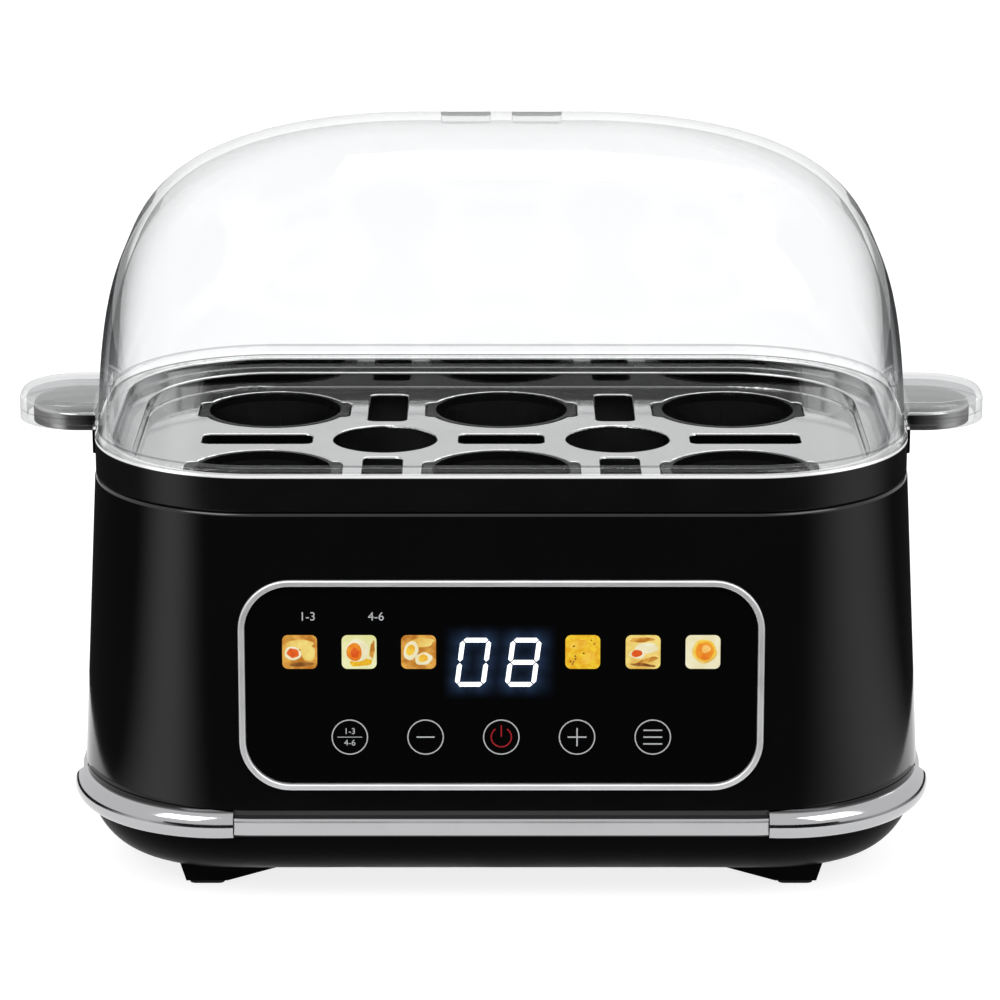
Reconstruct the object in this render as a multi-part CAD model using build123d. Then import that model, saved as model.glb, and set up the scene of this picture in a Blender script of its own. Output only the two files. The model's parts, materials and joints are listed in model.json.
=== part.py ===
from build123d import *
import math
import os

# Electric egg cooker, in millimetres.
# The origin is the middle of the footprint on the table, +Z is up.
# The control panel faces -Y and +X is to the right of someone who reads it.

# Rim outline, shared by the top of the body, the tray and the lid
RIM_HALF_LENGTH = 102.5
RIM_HALF_DEPTH = 63.3
RIM_CORNER = 41.5

# Heights of the stacked pieces
FOOT_PAD_HEIGHT = 1.0
FOOT_BLOCK_HEIGHT = 4.0
BASE_HEIGHT = 14.2
HOUSING_HEIGHT = 82.5
COLLAR_HEIGHT = 8.7
LID_HEIGHT = 75.1

# Body shell
HOUSING_WALL = 2.4
HOUSING_TOP_SETBACK = 0.2
HOUSING_FLARE = 4.6
HOUSING_EDGE_RADIUS = 1.0
BAND_HEIGHT = 7.1
BAND_RECESS = 0.6
TOP_FLANGE = 2.4
POST_HEIGHT = 31.0

# Base pan
BASE_WALL = 2.2
BASE_TOP_SETBACK = 0.9
BASE_DRAW_SIDE = 7.7
BASE_DRAW_FRONT = 15.4
BASE_DRAW_CORNER = 18.1
BASE_CURVE_POWER = 1.75
BASE_STEPS = 6
BASE_LIP_HEIGHT = 2.4
VENT_COUNT = 8
VENT_LENGTH = 30.0
VENT_WIDTH = 2.6
VENT_PITCH = 7.0

# Feet
FOOT_SIDE_SETBACK = 27.9
FOOT_LENGTH = 10.4
FOOT_DEPTH = 14.0
FOOT_RAMP = 14.0
FOOT_HEEL = 1.6
FOOT_FRONT_SETBACK = 13.3
FOOT_PAD_MARGIN = 0.8

# Bright strips and corner bumpers
STRIP_THICKNESS = 1.4
STRIP_HEIGHT = 4.3
STRIP_DROP = 0.5
BUMPER_TOP = 3.4
BUMPER_BOTTOM = 3.8
BUMPER_BULGE_DROP = 0.6
BUMPER_DEPTH = 6.3
BUMPER_TOP_STEP = 3.3
BUMPER_BOTTOM_STEP = 2.1
BUMPER_CENTRE_SHIFT = 8.5
BUMPER_PAN_GAP = 0.3
BUMPER_FRONT_RUN = 5.4
BUMPER_SIDE_RUN = 12.2
TRIM_GAP = 0.2

# Collar
COLLAR_LIP = 1.0
COLLAR_WALL = 2.9
COLLAR_SHELF = 7.0
COLLAR_FOOT_CHAMFER = 0.5
GRIP_NOTCH_CLEARANCE = 0.6

# Egg tray, pressed from polished sheet
SHEET = 0.8
TRAY_RIM_GAP = 0.3
TRAY_STEP_DEPTH = 2.8
TRAY_BOWL_GAP = 0.5
TRAY_LEDGE_GAP = 0.4
TRAY_FLOOR_DEPTH = 6.9
TRAY_BEND = 0.55
HOLE_EDGE_RADIUS = 0.5
CUP_PITCH_X = 60.0
CUP_ROW_SETBACK = 33.3
CUP_HOLE_RADIUS = 18.8
CUP_EAR_REACH = 19.9
CUP_EAR_WIDTH = 15.0
ROUND_HOLE_RADIUS = 13.3
ROUND_HOLE_X = 30.0
SLOT_CORNER = 2.0
SIDE_SLOT_X = 63.0
SIDE_SLOT_LENGTH = 28.4
MIDDLE_SLOT_LENGTH = 22.0
FLAT_SLOT_SHARE = 3 / 7
CROSS_SLOT_SETBACK = 17.3
CROSS_SLOT_GAP = 4.7
CROSS_SLOT_WIDTH = 10.0

# Egg cups, clipped into the tray from below
CUP_CLEARANCE = 0.2
CUP_DEPTH = 22.0
CUP_WALL = 1.2
CUP_FOOT_RADIUS = 13.5
CUP_DRAIN_RADIUS = 9.0
CUP_FLANGE = 1.8
CUP_FLANGE_THICKNESS = 1.2
CUP_RIB = 1.2

# Tray handles, hollow caps that nest inside the handles of the lid
TAB_HALF_WIDTH = 12.0
TAB_SETBACK = 0.7
TAB_LENGTH = 17.0
TAB_RISE = 3.7
TAB_SIDE_GAP = 0.8
TAB_EDGE = 0.7

# Black hooks under the tray handles
HOOK_GAP = 0.1
HOOK_LENGTH = 7.0
HOOK_LIP = 1.3
HOOK_LIP_DEPTH = 7.8
HOOK_EDGE = 0.5
RIVET_RADIUS = 1.2
RIVET_HEAD = 2.0
RIVET_HEAD_HEIGHT = 0.6
RIVET_X_SHARE = 0.6
RIVET_Y = 8.0

# Lid
LID_WALL = 2.0
LID_BEAD_HEIGHT = 2.4
LID_BEAD_RADIUS = 1.0
LID_SETBACK = 0.8
LID_DRAFT = 3.2
LID_SIDE_POWER = 3.7
LID_FRONT_POWER = 3.5
LID_CROWN_SHARE = 0.95
LID_STEPS = 10
LID_LIP = 1.2
LID_LIP_DEPTH = 2.2
LID_LIP_GAP = 0.35
LID_SHELF_THICKNESS = 1.8
STEAM_SLOT_LENGTH = 12.9
STEAM_SLOT_WIDTH = 3.6
STEAM_SLOT_X = 9.2
STEAM_SLOT_Y = 28.0
HANDLE_LENGTH = 21.2
HANDLE_HALF_WIDTH = 17.0
HANDLE_HEIGHT = 6.9
HANDLE_CORNER = 15.0
HANDLE_WALL = 1.7
HANDLE_EDGE = 1.8
HANDLE_HOLLOW_SETBACK = 0.4

# Water bowl and its seal
GASKET_WIDTH = 3.2
GASKET_HEIGHT = 0.8
BOWL_SHEET = 0.9
BOWL_CLEARANCE = 0.3
BOWL_DEPTH = 30.0
BOWL_STRAIGHT = 4.0
BOWL_DRAFT = 9.0
BOWL_BOTTOM_RADIUS = 7.0

# Heater group under the bowl
PLATE_MARGIN_SIDE = 12.0
PLATE_MARGIN_FRONT = 10.0
PLATE_CORNER = 20.0
PLATE_THICKNESS = 2.5
TUBE_RADIUS = 3.2
TUBE_HALF_LENGTH = 48.0
TUBE_HALF_DEPTH = 20.0
TUBE_CORNER = 16.0
TUBE_END_X = 12.0
TUBE_END_RADIUS = 8.0
TUBE_LEG = 16.0
HEATER_GAP = 0.05
TERMINAL_RADIUS = 1.4
TERMINAL_LENGTH = 7.0
THERMOSTAT_RADIUS = 8.0
THERMOSTAT_HEIGHT = 6.0
THERMOSTAT_X = 24.0
FUSE_RADIUS = 2.2
FUSE_LENGTH = 12.0
FUSE_X = -24.0
SENSOR_RADIUS = 2.5
SENSOR_HEIGHT = 7.0
CLIP_THICKNESS = 0.6
CLIP_WIDTH = 6.0
SHIELD_MARGIN_SIDE = 12.0
SHIELD_MARGIN_FRONT = 4.0
SHIELD_CORNER = 16.0
SHIELD_RIM = 5.0
SHIELD_SHEET = 0.6
SHIELD_DROP = 17.0
SHIELD_WINDOW_LENGTH = 44.0
SHIELD_WINDOW_DEPTH = 14.0
STUD_RADIUS = 2.5
STUD_MARGIN = 6.0

# Control panel, on the front face
PANEL_LENGTH = 129.2
PANEL_TOP_MARGIN = 16.7
PANEL_BOTTOM_MARGIN = 12.4
PANEL_CORNER = 12.7
PANEL_CLEARANCE = 0.1
BEZEL_WIDTH = 1.6
BEZEL_PROUD = 0.7
BEZEL_EDGE = 0.5
GLASS_RECESS = 0.5
GLASS_THICKNESS = 1.6
CARRIER_DEPTH = 5.0
CARRIER_FLANGE = 2.0
CARRIER_SIDE_MARGIN = 4.6
CARRIER_TOP_OVERLAP = 7.4
CARRIER_CORNER = 6.0
CARRIER_WALL = 1.6
CARRIER_SCREW_SIDE = 10.0
CARRIER_SCREW_TOP = 3.8
CARRIER_BOSS_RADIUS = 3.2
BOARD_THICKNESS = 1.6
CONTROL_BOARD_SIDE = 6.6
CONTROL_BOARD_TOP = 2.2
DISPLAY_LENGTH = 25.6
DISPLAY_HEIGHT = 15.6
DISPLAY_X = -0.8
DISPLAY_RISE = 5.9
PICTURE_RISE = 8.5
GUIDE_INNER_X = 15.0
GUIDE_END_MARGIN = 9.6
GUIDE_HEIGHT = 12.0
LAMP_SIZE = 3.0
LAMP_HEIGHT = 1.4
PICTURE_INNER_X = 20.2
PICTURE_END_MARGIN = 15.1
KEY_DROP = 13.2
KEY_PITCH = 18.6
KEY_COUNT = 5
SPRING_RADIUS = 4.2
SPRING_WALL = 0.7

# Power board on the base pan
POWER_BOARD_LENGTH = 104.0
POWER_BOARD_DEPTH = 52.0
POWER_BOARD_LIFT = 4.8
STANDOFF_RADIUS = 3.4
STANDOFF_MARGIN = 5.0
TRANSFORMER_SIZE = (26.0, 22.0, 20.0)
TRANSFORMER_PLACE = (-29.0, 5.0)
RELAY_SIZE = (19.0, 15.5, 15.5)
RELAY_PLACE = (0.0, -12.0)
CAPACITOR_RADIUS = 6.0
CAPACITOR_HEIGHT = 18.0
CAPACITOR_PLACE = (-5.0, 12.0)
TERMINAL_BLOCK_SIZE = (26.0, 10.0, 12.0)
TERMINAL_BLOCK_PLACE = (34.0, 8.0)
TERMINAL_WAYS = 4
BUZZER_RADIUS = 6.0
BUZZER_HEIGHT = 7.0
BUZZER_PLACE = (-30.0, -15.0)

# Screws
SCREW_RADIUS = 1.5
SCREW_HEAD_RADIUS = 2.8
SCREW_HEAD_HEIGHT = 1.8
SCREW_FIT = 0.1
BASE_SCREW_SIDE = 20.5
BASE_SCREW_CORNER = 1.8
BASE_SCREW_LENGTH = 22.0
BASE_BOSS_RADIUS = 4.4
COLLAR_SCREW_CORNER = 3.0
COLLAR_SCREW_LENGTH = 4.8
COLLAR_SCREW_RADIUS = 1.0
COLLAR_HEAD_RADIUS = 1.7
PANEL_SCREW_LENGTH = 6.0
PANEL_SCREW_RADIUS = 1.2
PANEL_HEAD_RADIUS = 2.2
BOARD_SCREW_LENGTH = 4.0

# Wires that stay inside
LEAD_RADIUS = 1.1
LEAD_DROP = 6.0
LEAD_RISE = 8.0
LEAD_BENDS = [3.0, 4.0]
RIBBON_WIDTH = 16.0
RIBBON_THICKNESS = 1.0

# Cord inlet in the rear wall
INLET_X = 45.0
INLET_Z = 38.0
INLET_BORE_RADIUS = 3.6
INLET_NECK_RADIUS = 6.0
INLET_FLANGE_RADIUS = 9.0
INLET_FLANGE = 2.0
INLET_CLEARANCE = 0.1

# A cut runs this far past the face that it opens
CUT = 1.0

# Edges are picked out to this accuracy
PICK = 0.01

# Heights above the table, worked out from the stack
BASE_BOTTOM_Z = FOOT_PAD_HEIGHT + FOOT_BLOCK_HEIGHT
HOUSING_Z = BASE_BOTTOM_Z + BASE_HEIGHT
BAND_TOP_Z = HOUSING_Z + BAND_HEIGHT
BAND_MID_Z = HOUSING_Z + BAND_HEIGHT / 2
COLLAR_Z = HOUSING_Z + HOUSING_HEIGHT
RIM_Z = COLLAR_Z + COLLAR_HEIGHT
TRAY_LEDGE_Z = RIM_Z - TRAY_STEP_DEPTH
TRAY_FLOOR_Z = RIM_Z - TRAY_FLOOR_DEPTH
LID_TOP_Z = RIM_Z + LID_HEIGHT
BOWL_FLANGE_Z = TRAY_LEDGE_Z - SHEET - TRAY_LEDGE_GAP - BOWL_SHEET
SHELF_TOP_Z = BOWL_FLANGE_Z - GASKET_HEIGHT
BOWL_BOTTOM_Z = BOWL_FLANGE_Z - BOWL_DEPTH
PLATE_Z = BOWL_BOTTOM_Z - PLATE_THICKNESS
TUBE_Z = PLATE_Z - HEATER_GAP - TUBE_RADIUS
SHIELD_Z = PLATE_Z - SHIELD_DROP
PAN_FLOOR_Z = BASE_BOTTOM_Z + BASE_WALL
POWER_BOARD_Z = PAN_FLOOR_Z + POWER_BOARD_LIFT
POWER_TOP_Z = POWER_BOARD_Z + BOARD_THICKNESS

PANEL_HEIGHT = HOUSING_HEIGHT - PANEL_TOP_MARGIN - PANEL_BOTTOM_MARGIN
PANEL_MID_Z = HOUSING_Z + PANEL_BOTTOM_MARGIN + PANEL_HEIGHT / 2
DISPLAY_Z = PANEL_MID_Z + DISPLAY_RISE
PICTURE_LINE_Z = PANEL_MID_Z + PICTURE_RISE
KEY_LINE_Z = PANEL_MID_Z - KEY_DROP

# Plan positions, worked out from the rim
CORNER_X = RIM_HALF_LENGTH - RIM_CORNER
CORNER_Y = RIM_HALF_DEPTH - RIM_CORNER
HOUSING_FOOT_INSET = -HOUSING_TOP_SETBACK - HOUSING_FLARE
BOWL_INSET = COLLAR_SHELF + BOWL_CLEARANCE
TRAY_STEP_INSET = COLLAR_WALL + TRAY_RIM_GAP
TRAY_FLOOR_INSET = BOWL_INSET + BOWL_SHEET + TRAY_BOWL_GAP + SHEET
FOOT_X = RIM_HALF_LENGTH - FOOT_SIDE_SETBACK
FOOT_FRONT_Y = RIM_HALF_DEPTH - FOOT_FRONT_SETBACK
BUMPER_FRONT_X = CORNER_X + BUMPER_FRONT_RUN
BUMPER_SIDE_Y = CORNER_Y + BUMPER_SIDE_RUN
TAB_INNER_X = RIM_HALF_LENGTH + TAB_SETBACK
TAB_REACH = TAB_INNER_X + TAB_LENGTH
TAB_CAP_HALF_WIDTH = HANDLE_HALF_WIDTH - HANDLE_WALL - TAB_SIDE_GAP
TAB_CORNER = HANDLE_CORNER - HANDLE_WALL - TAB_SIDE_GAP
HOOK_X = TAB_INNER_X + SHEET + HOOK_GAP
HANDLE_REACH = RIM_HALF_LENGTH + HANDLE_LENGTH
BASE_SCREW_X = RIM_HALF_LENGTH - BASE_SCREW_SIDE
BASE_SCREW_Y = CORNER_Y - BASE_SCREW_CORNER
COLLAR_SCREW_X = CORNER_X - COLLAR_SCREW_CORNER
PLATE_HALF_LENGTH = TUBE_HALF_LENGTH + PLATE_MARGIN_SIDE
PLATE_HALF_DEPTH = TUBE_HALF_DEPTH + PLATE_MARGIN_FRONT
SHIELD_HALF_LENGTH = PLATE_HALF_LENGTH + SHIELD_MARGIN_SIDE
SHIELD_HALF_DEPTH = PLATE_HALF_DEPTH + SHIELD_MARGIN_FRONT
CARRIER_HALF_LENGTH = PANEL_LENGTH / 2 - CARRIER_SIDE_MARGIN
CARRIER_HALF_HEIGHT = PANEL_HEIGHT / 2 + CARRIER_TOP_OVERLAP
CARRIER_SCREW_X = CARRIER_HALF_LENGTH - CARRIER_SCREW_SIDE
CARRIER_SCREW_Y = CARRIER_HALF_HEIGHT - CARRIER_SCREW_TOP
STANDOFF_X = POWER_BOARD_LENGTH / 2 - STANDOFF_MARGIN
STANDOFF_Y = POWER_BOARD_DEPTH / 2 - STANDOFF_MARGIN
CUP_ROW_Y = RIM_HALF_DEPTH - CUP_ROW_SETBACK
CUP_CENTRES = [(i * CUP_PITCH_X, j * CUP_ROW_Y) for j in (-1, 1) for i in (-1, 0, 1)]
FLAT_SLOT_WIDTH = FLAT_SLOT_SHARE * 2 * (CUP_ROW_Y - CUP_HOLE_RADIUS)
CROSS_SLOT_START = ROUND_HOLE_RADIUS + CROSS_SLOT_GAP
CROSS_SLOT_END = RIM_HALF_DEPTH - CROSS_SLOT_SETBACK
CROSS_SLOT_LENGTH = CROSS_SLOT_END - CROSS_SLOT_START
CROSS_SLOT_Y = (CROSS_SLOT_START + CROSS_SLOT_END) / 2
GUIDE_OUTER_X = PANEL_LENGTH / 2 - GUIDE_END_MARGIN
PICTURE_OUTER_X = PANEL_LENGTH / 2 - PICTURE_END_MARGIN
PICTURE_X = (PICTURE_INNER_X, (PICTURE_INNER_X + PICTURE_OUTER_X) / 2, PICTURE_OUTER_X)
FLARE_ANGLE = math.degrees(math.atan(HOUSING_FLARE / HOUSING_HEIGHT))


# Outlines and slabs

def rounded_slab(half_x, half_y, corner, z_low, z_high):
    outline = Pos(0, 0, z_low) * RectangleRounded(2 * half_x, 2 * half_y, corner)
    return extrude(outline, amount=z_high - z_low)


def rim_outline(inset, z):
    length = 2 * (RIM_HALF_LENGTH - inset)
    depth = 2 * (RIM_HALF_DEPTH - inset)
    return Pos(0, 0, z) * RectangleRounded(length, depth, RIM_CORNER - inset)


def rim_slab(inset, z_low, z_high):
    return extrude(rim_outline(inset, z_low), amount=z_high - z_low)


def rim_ring(outer_inset, inner_inset, z_low, z_high):
    return rim_slab(outer_inset, z_low, z_high) - rim_slab(inner_inset, z_low - CUT, z_high + CUT)


def tapered_slab(inset_low, z_low, inset_high, z_high):
    return loft([rim_outline(inset_low, z_low), rim_outline(inset_high, z_high)], ruled=True)


def block(x_low, x_high, y_low, y_high, z_low, z_high):
    centre = Pos((x_low + x_high) / 2, (y_low + y_high) / 2, (z_low + z_high) / 2)
    return centre * Box(x_high - x_low, y_high - y_low, z_high - z_low)


def post(x, y, radius, z_low, z_high):
    return Pos(x, y, (z_low + z_high) / 2) * Cylinder(radius, z_high - z_low)


def inset_of(point):
    # How far inside the rim outline a point lies
    over_x = abs(point.X) - CORNER_X
    over_y = abs(point.Y) - CORNER_Y
    if over_x > 0 and over_y > 0:
        return RIM_CORNER - math.hypot(over_x, over_y)
    return RIM_CORNER - max(over_x, over_y)


def level_edges(part, z):
    edges = []
    for edge in part.edges():
        box = edge.bounding_box()
        if abs(box.min.Z - z) < PICK and abs(box.max.Z - z) < PICK:
            edges.append(edge)
    return edges


def loop_edges(part, z, inset):
    return [edge for edge in level_edges(part, z) if abs(inset_of(edge @ 0.5) - inset) < 2 * PICK]


def outer_uprights(part, reach):
    # The upright edges at this distance from the middle, on either side
    return [edge for edge in part.edges().filter_by(Axis.Z) if abs((edge @ 0.5).X) > reach - PICK]


def four_corners(x, y):
    return [(side * x, end * y) for end in (-1, 1) for side in (-1, 1)]


def housing_inset(z):
    return -HOUSING_TOP_SETBACK - HOUSING_FLARE * (COLLAR_Z - z) / HOUSING_HEIGHT


def face_plane(x, z, side):
    # A plane on the sloping front (side -1) or rear (side 1) face of the body
    depth = RIM_HALF_DEPTH - housing_inset(z)
    slope = math.radians(FLARE_ANGLE)
    normal = (0, side * math.cos(slope), math.sin(slope))
    return Plane(origin=(x, side * depth, z), x_dir=(-side, 0, 0), z_dir=normal)


PANEL_PLACE = face_plane(0, PANEL_MID_Z, -1).location
INLET_PLACE = face_plane(INLET_X, INLET_Z, 1).location


def panel_slab(length, height, corner, low, high):
    outline = Pos(0, 0, low) * RectangleRounded(length, height, corner)
    return extrude(outline, amount=high - low)


def panel_y(z):
    # Height z above the table, as a distance along the sloping panel
    return (z - PANEL_MID_Z) / math.cos(math.radians(FLARE_ANGLE))


# Base pan and feet

def base_section(share, inward):
    # share runs from 0 at the top edge of the pan to 1 at its flat bottom
    pull = 1 - (1 - min(share, 1) ** BASE_CURVE_POWER) ** (1 / BASE_CURVE_POWER)
    top_inset = HOUSING_FOOT_INSET + BASE_TOP_SETBACK
    half_x = RIM_HALF_LENGTH - top_inset
    half_y = RIM_HALF_DEPTH - top_inset
    corner = RIM_CORNER - top_inset
    half_x -= pull * (BASE_DRAW_SIDE - top_inset) + inward
    half_y -= pull * (BASE_DRAW_FRONT - top_inset) + inward
    corner -= pull * (BASE_DRAW_CORNER - top_inset) + inward
    z = HOUSING_Z - share * (BASE_HEIGHT - inward)
    return Pos(0, 0, z) * RectangleRounded(2 * half_x, 2 * half_y, corner)


def base_hull(inward):
    turns = [math.pi / 2 * step / BASE_STEPS for step in range(BASE_STEPS + 1)]
    shares = [math.sin(turn) ** (2 / BASE_CURVE_POWER) for turn in turns]
    return loft([base_section(share, inward) for share in shares])


def foot_block():
    outer = FOOT_LENGTH / 2
    top = BASE_BOTTOM_Z + BASE_WALL / 2
    points = [
        (outer + FOOT_HEEL, top),
        (outer, FOOT_PAD_HEIGHT),
        (-outer, FOOT_PAD_HEIGHT),
        (-outer - FOOT_RAMP, BASE_BOTTOM_Z),
        (-outer - FOOT_RAMP, top),
    ]
    side = make_face(Polyline(points, close=True))
    front = Plane(origin=(FOOT_X, -FOOT_FRONT_Y, 0), x_dir=(1, 0, 0), z_dir=(0, -1, 0))
    return extrude(front.location * side, amount=-FOOT_DEPTH)


def base_pan():
    pan = base_hull(0) - base_hull(BASE_WALL)
    foot = foot_block()
    for side in (0, 1):
        row = mirror(foot, Plane.YZ) if side else foot
        pan += row
        pan += mirror(row, Plane.XZ)
    lip_inset = HOUSING_FOOT_INSET + HOUSING_WALL + BASE_WALL / 4
    lip_low = HOUSING_Z - BASE_WALL
    lip_high = HOUSING_Z + BASE_LIP_HEIGHT
    lip = rim_ring(lip_inset, lip_inset + BASE_WALL / 2, lip_low, lip_high)
    pan += lip & block(-CORNER_X, CORNER_X, -2 * RIM_HALF_DEPTH, 2 * RIM_HALF_DEPTH, 0, COLLAR_Z)
    for x, y in four_corners(BASE_SCREW_X, BASE_SCREW_Y):
        pan += post(x, y, BASE_BOSS_RADIUS, BASE_BOTTOM_Z, HOUSING_Z)
        pan -= post(x, y, SCREW_RADIUS + SCREW_FIT, 0, HOUSING_Z + CUT)
        pan -= post(x, y, SCREW_HEAD_RADIUS + SCREW_FIT, 0, base_screw_seat())
    for x, y in four_corners(STANDOFF_X, STANDOFF_Y):
        pan += post(x, y, STANDOFF_RADIUS, PAN_FLOOR_Z, POWER_BOARD_Z)
        pan -= post(x, y, SCREW_RADIUS + SCREW_FIT, PAN_FLOOR_Z, POWER_BOARD_Z + CUT)
    for i in range(VENT_COUNT):
        x = (i - (VENT_COUNT - 1) / 2) * VENT_PITCH
        slot = SlotOverall(VENT_LENGTH, VENT_WIDTH, rotation=90)
        pan -= extrude(Pos(x, 0, BASE_BOTTOM_Z - CUT) * slot, amount=BASE_WALL + 2 * CUT)
    return pan


def base_screw_seat():
    return BASE_BOTTOM_Z + SCREW_HEAD_HEIGHT + CUT


def foot_pad(x, y):
    length = FOOT_LENGTH - 2 * FOOT_PAD_MARGIN
    depth = FOOT_DEPTH - 2 * FOOT_PAD_MARGIN
    middle = FOOT_FRONT_Y - FOOT_DEPTH / 2
    outline = Pos(x * FOOT_X, y * middle, 0) * RectangleRounded(length, depth, FOOT_PAD_MARGIN * 2)
    return extrude(outline, amount=FOOT_PAD_HEIGHT)


# Body shell

def main_housing():
    shell = tapered_slab(housing_inset(BAND_TOP_Z), BAND_TOP_Z, housing_inset(COLLAR_Z), COLLAR_Z)
    shell = fillet(level_edges(shell, COLLAR_Z), HOUSING_EDGE_RADIUS)
    shell += rim_slab(band_inset(), HOUSING_Z, BAND_TOP_Z)
    flange_z = COLLAR_Z - TOP_FLANGE
    low = HOUSING_Z - CUT
    low_inset = housing_inset(low) + HOUSING_WALL
    shell -= tapered_slab(low_inset, low, housing_inset(flange_z) + HOUSING_WALL, flange_z)
    shell -= rim_slab(COLLAR_SHELF, flange_z - CUT, COLLAR_Z + CUT)
    for x, y in four_corners(BASE_SCREW_X, BASE_SCREW_Y):
        shell += housing_post(x, y)
    for x, y in collar_screw_places():
        shell -= post(x, y, COLLAR_SCREW_RADIUS + SCREW_FIT, flange_z - CUT, COLLAR_Z + CUT)
    for x, y in four_corners(CARRIER_SCREW_X, CARRIER_SCREW_Y):
        boss = Pos(x, y, -(HOUSING_WALL + CARRIER_DEPTH) / 2 - HOUSING_WALL / 4)
        shell += PANEL_PLACE * boss * Cylinder(CARRIER_BOSS_RADIUS, CARRIER_DEPTH + HOUSING_WALL / 2)
    for x, y in four_corners(CARRIER_SCREW_X, CARRIER_SCREW_Y):
        hole = Pos(x, y, carrier_back() + CARRIER_FLANGE + PANEL_SCREW_LENGTH / 2)
        bore = Cylinder(PANEL_SCREW_RADIUS + SCREW_FIT, PANEL_SCREW_LENGTH + SCREW_FIT)
        shell -= PANEL_PLACE * hole * bore
    gap = 2 * PANEL_CLEARANCE
    opening = panel_slab(PANEL_LENGTH + gap, PANEL_HEIGHT + gap, PANEL_CORNER, -HOUSING_WALL - CUT, CUT)
    shell -= PANEL_PLACE * opening
    shell -= INLET_PLACE * Cylinder(INLET_NECK_RADIUS + INLET_CLEARANCE, 2 * (HOUSING_WALL + CUT))
    return shell


def band_inset():
    return housing_inset(BAND_TOP_Z) + BAND_RECESS


def housing_post(x, y):
    side = math.copysign(1, x)
    wall_x = side * (RIM_HALF_LENGTH - housing_inset(HOUSING_Z + POST_HEIGHT) - HOUSING_WALL / 2)
    top = HOUSING_Z + POST_HEIGHT
    rib_low = HOUSING_Z + BASE_LIP_HEIGHT
    half = HOUSING_WALL / 2
    rib = block(min(x, wall_x), max(x, wall_x), y - half, y + half, rib_low, top)
    pillar = post(x, y, BASE_BOSS_RADIUS, HOUSING_Z, top) + rib
    return pillar - post(x, y, SCREW_RADIUS + SCREW_FIT, HOUSING_Z - CUT, top - HOUSING_WALL)


# Bright trim

def trim_ring():
    low = BAND_MID_Z - STRIP_DROP - STRIP_HEIGHT / 2
    return rim_ring(band_inset() - STRIP_THICKNESS, band_inset(), low, low + STRIP_HEIGHT)


def long_strip(side):
    half = BUMPER_FRONT_X - TRIM_GAP
    reach = 2 * RIM_HALF_DEPTH
    window = block(-half, half, min(0, side * reach), max(0, side * reach), 0, RIM_Z)
    return trim_ring() & window


def short_strip(side):
    half = BUMPER_SIDE_Y - TRIM_GAP
    reach = 2 * RIM_HALF_LENGTH
    window = block(min(0, side * reach), max(0, side * reach), -half, half, 0, RIM_Z)
    return trim_ring() & window


def bumper_section():
    # Radius from the bumper's own centre and height from the band's middle
    band = RIM_CORNER - band_inset()
    bulge = band + BUMPER_DEPTH - BUMPER_CENTRE_SHIFT * math.sqrt(2)
    inner = bulge - 2 * BUMPER_DEPTH
    top = (bulge - BUMPER_TOP_STEP, BUMPER_TOP)
    bottom = (bulge - BUMPER_BOTTOM_STEP, -BUMPER_BOTTOM)
    outline = Line((inner, BUMPER_TOP), (inner, -BUMPER_BOTTOM))
    outline += Line((inner, -BUMPER_BOTTOM), bottom)
    outline += ThreePointArc(bottom, (bulge, -BUMPER_BULGE_DROP), top)
    outline += Line(top, (inner, BUMPER_TOP))
    return make_face(outline)


def corner_bumper(side, end):
    # Turned about a centre outside the corner's own, so it is thickest at the middle of the corner
    x = CORNER_X + BUMPER_CENTRE_SHIFT
    y = -CORNER_Y - BUMPER_CENTRE_SHIFT
    upright = Plane(origin=(x, y, BAND_MID_Z), x_dir=(1, 0, 0), z_dir=(0, -1, 0))
    bumper = revolve(upright.location * bumper_section(), Axis((x, y, 0), (0, 0, 1)))
    far = 2 * RIM_HALF_LENGTH
    bumper &= block(BUMPER_FRONT_X, far, -far, -BUMPER_SIDE_Y, 0, RIM_Z)
    band = RIM_CORNER - band_inset()
    bumper -= post(CORNER_X, -CORNER_Y, band, HOUSING_Z, RIM_Z)
    pan_top = RIM_CORNER - HOUSING_FOOT_INSET - BASE_TOP_SETBACK
    bumper -= post(CORNER_X, -CORNER_Y, pan_top + BUMPER_PAN_GAP, 0, HOUSING_Z)
    if side < 0:
        bumper = mirror(bumper, Plane.YZ)
    if end > 0:
        bumper = mirror(bumper, Plane.XZ)
    return bumper


# Collar, seal and water bowl

def collar_screw_places():
    y = RIM_HALF_DEPTH - (COLLAR_WALL + COLLAR_SHELF) / 2
    return four_corners(COLLAR_SCREW_X, y)


def upper_collar():
    collar = rim_slab(0, COLLAR_Z, RIM_Z)
    collar = chamfer(loop_edges(collar, COLLAR_Z, 0), COLLAR_FOOT_CHAMFER)
    collar -= rim_slab(COLLAR_SHELF, COLLAR_Z - CUT, RIM_Z)
    collar -= rim_slab(COLLAR_WALL, SHELF_TOP_Z, RIM_Z + CUT)
    collar -= rim_slab(COLLAR_LIP, RIM_Z - SHEET, RIM_Z + CUT)
    notch = TAB_HALF_WIDTH + GRIP_NOTCH_CLEARANCE
    reach = RIM_HALF_LENGTH + CUT
    collar -= block(-reach, reach, -notch, notch, RIM_Z - SHEET, RIM_Z + CUT)
    for x, y in collar_screw_places():
        collar -= post(x, y, COLLAR_SCREW_RADIUS + SCREW_FIT, COLLAR_Z - CUT, SHELF_TOP_Z - SHEET)
    return collar


def bowl_gasket():
    outer = COLLAR_SHELF - GASKET_WIDTH
    return rim_ring(outer, COLLAR_SHELF, SHELF_TOP_Z, BOWL_FLANGE_Z)


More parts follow.
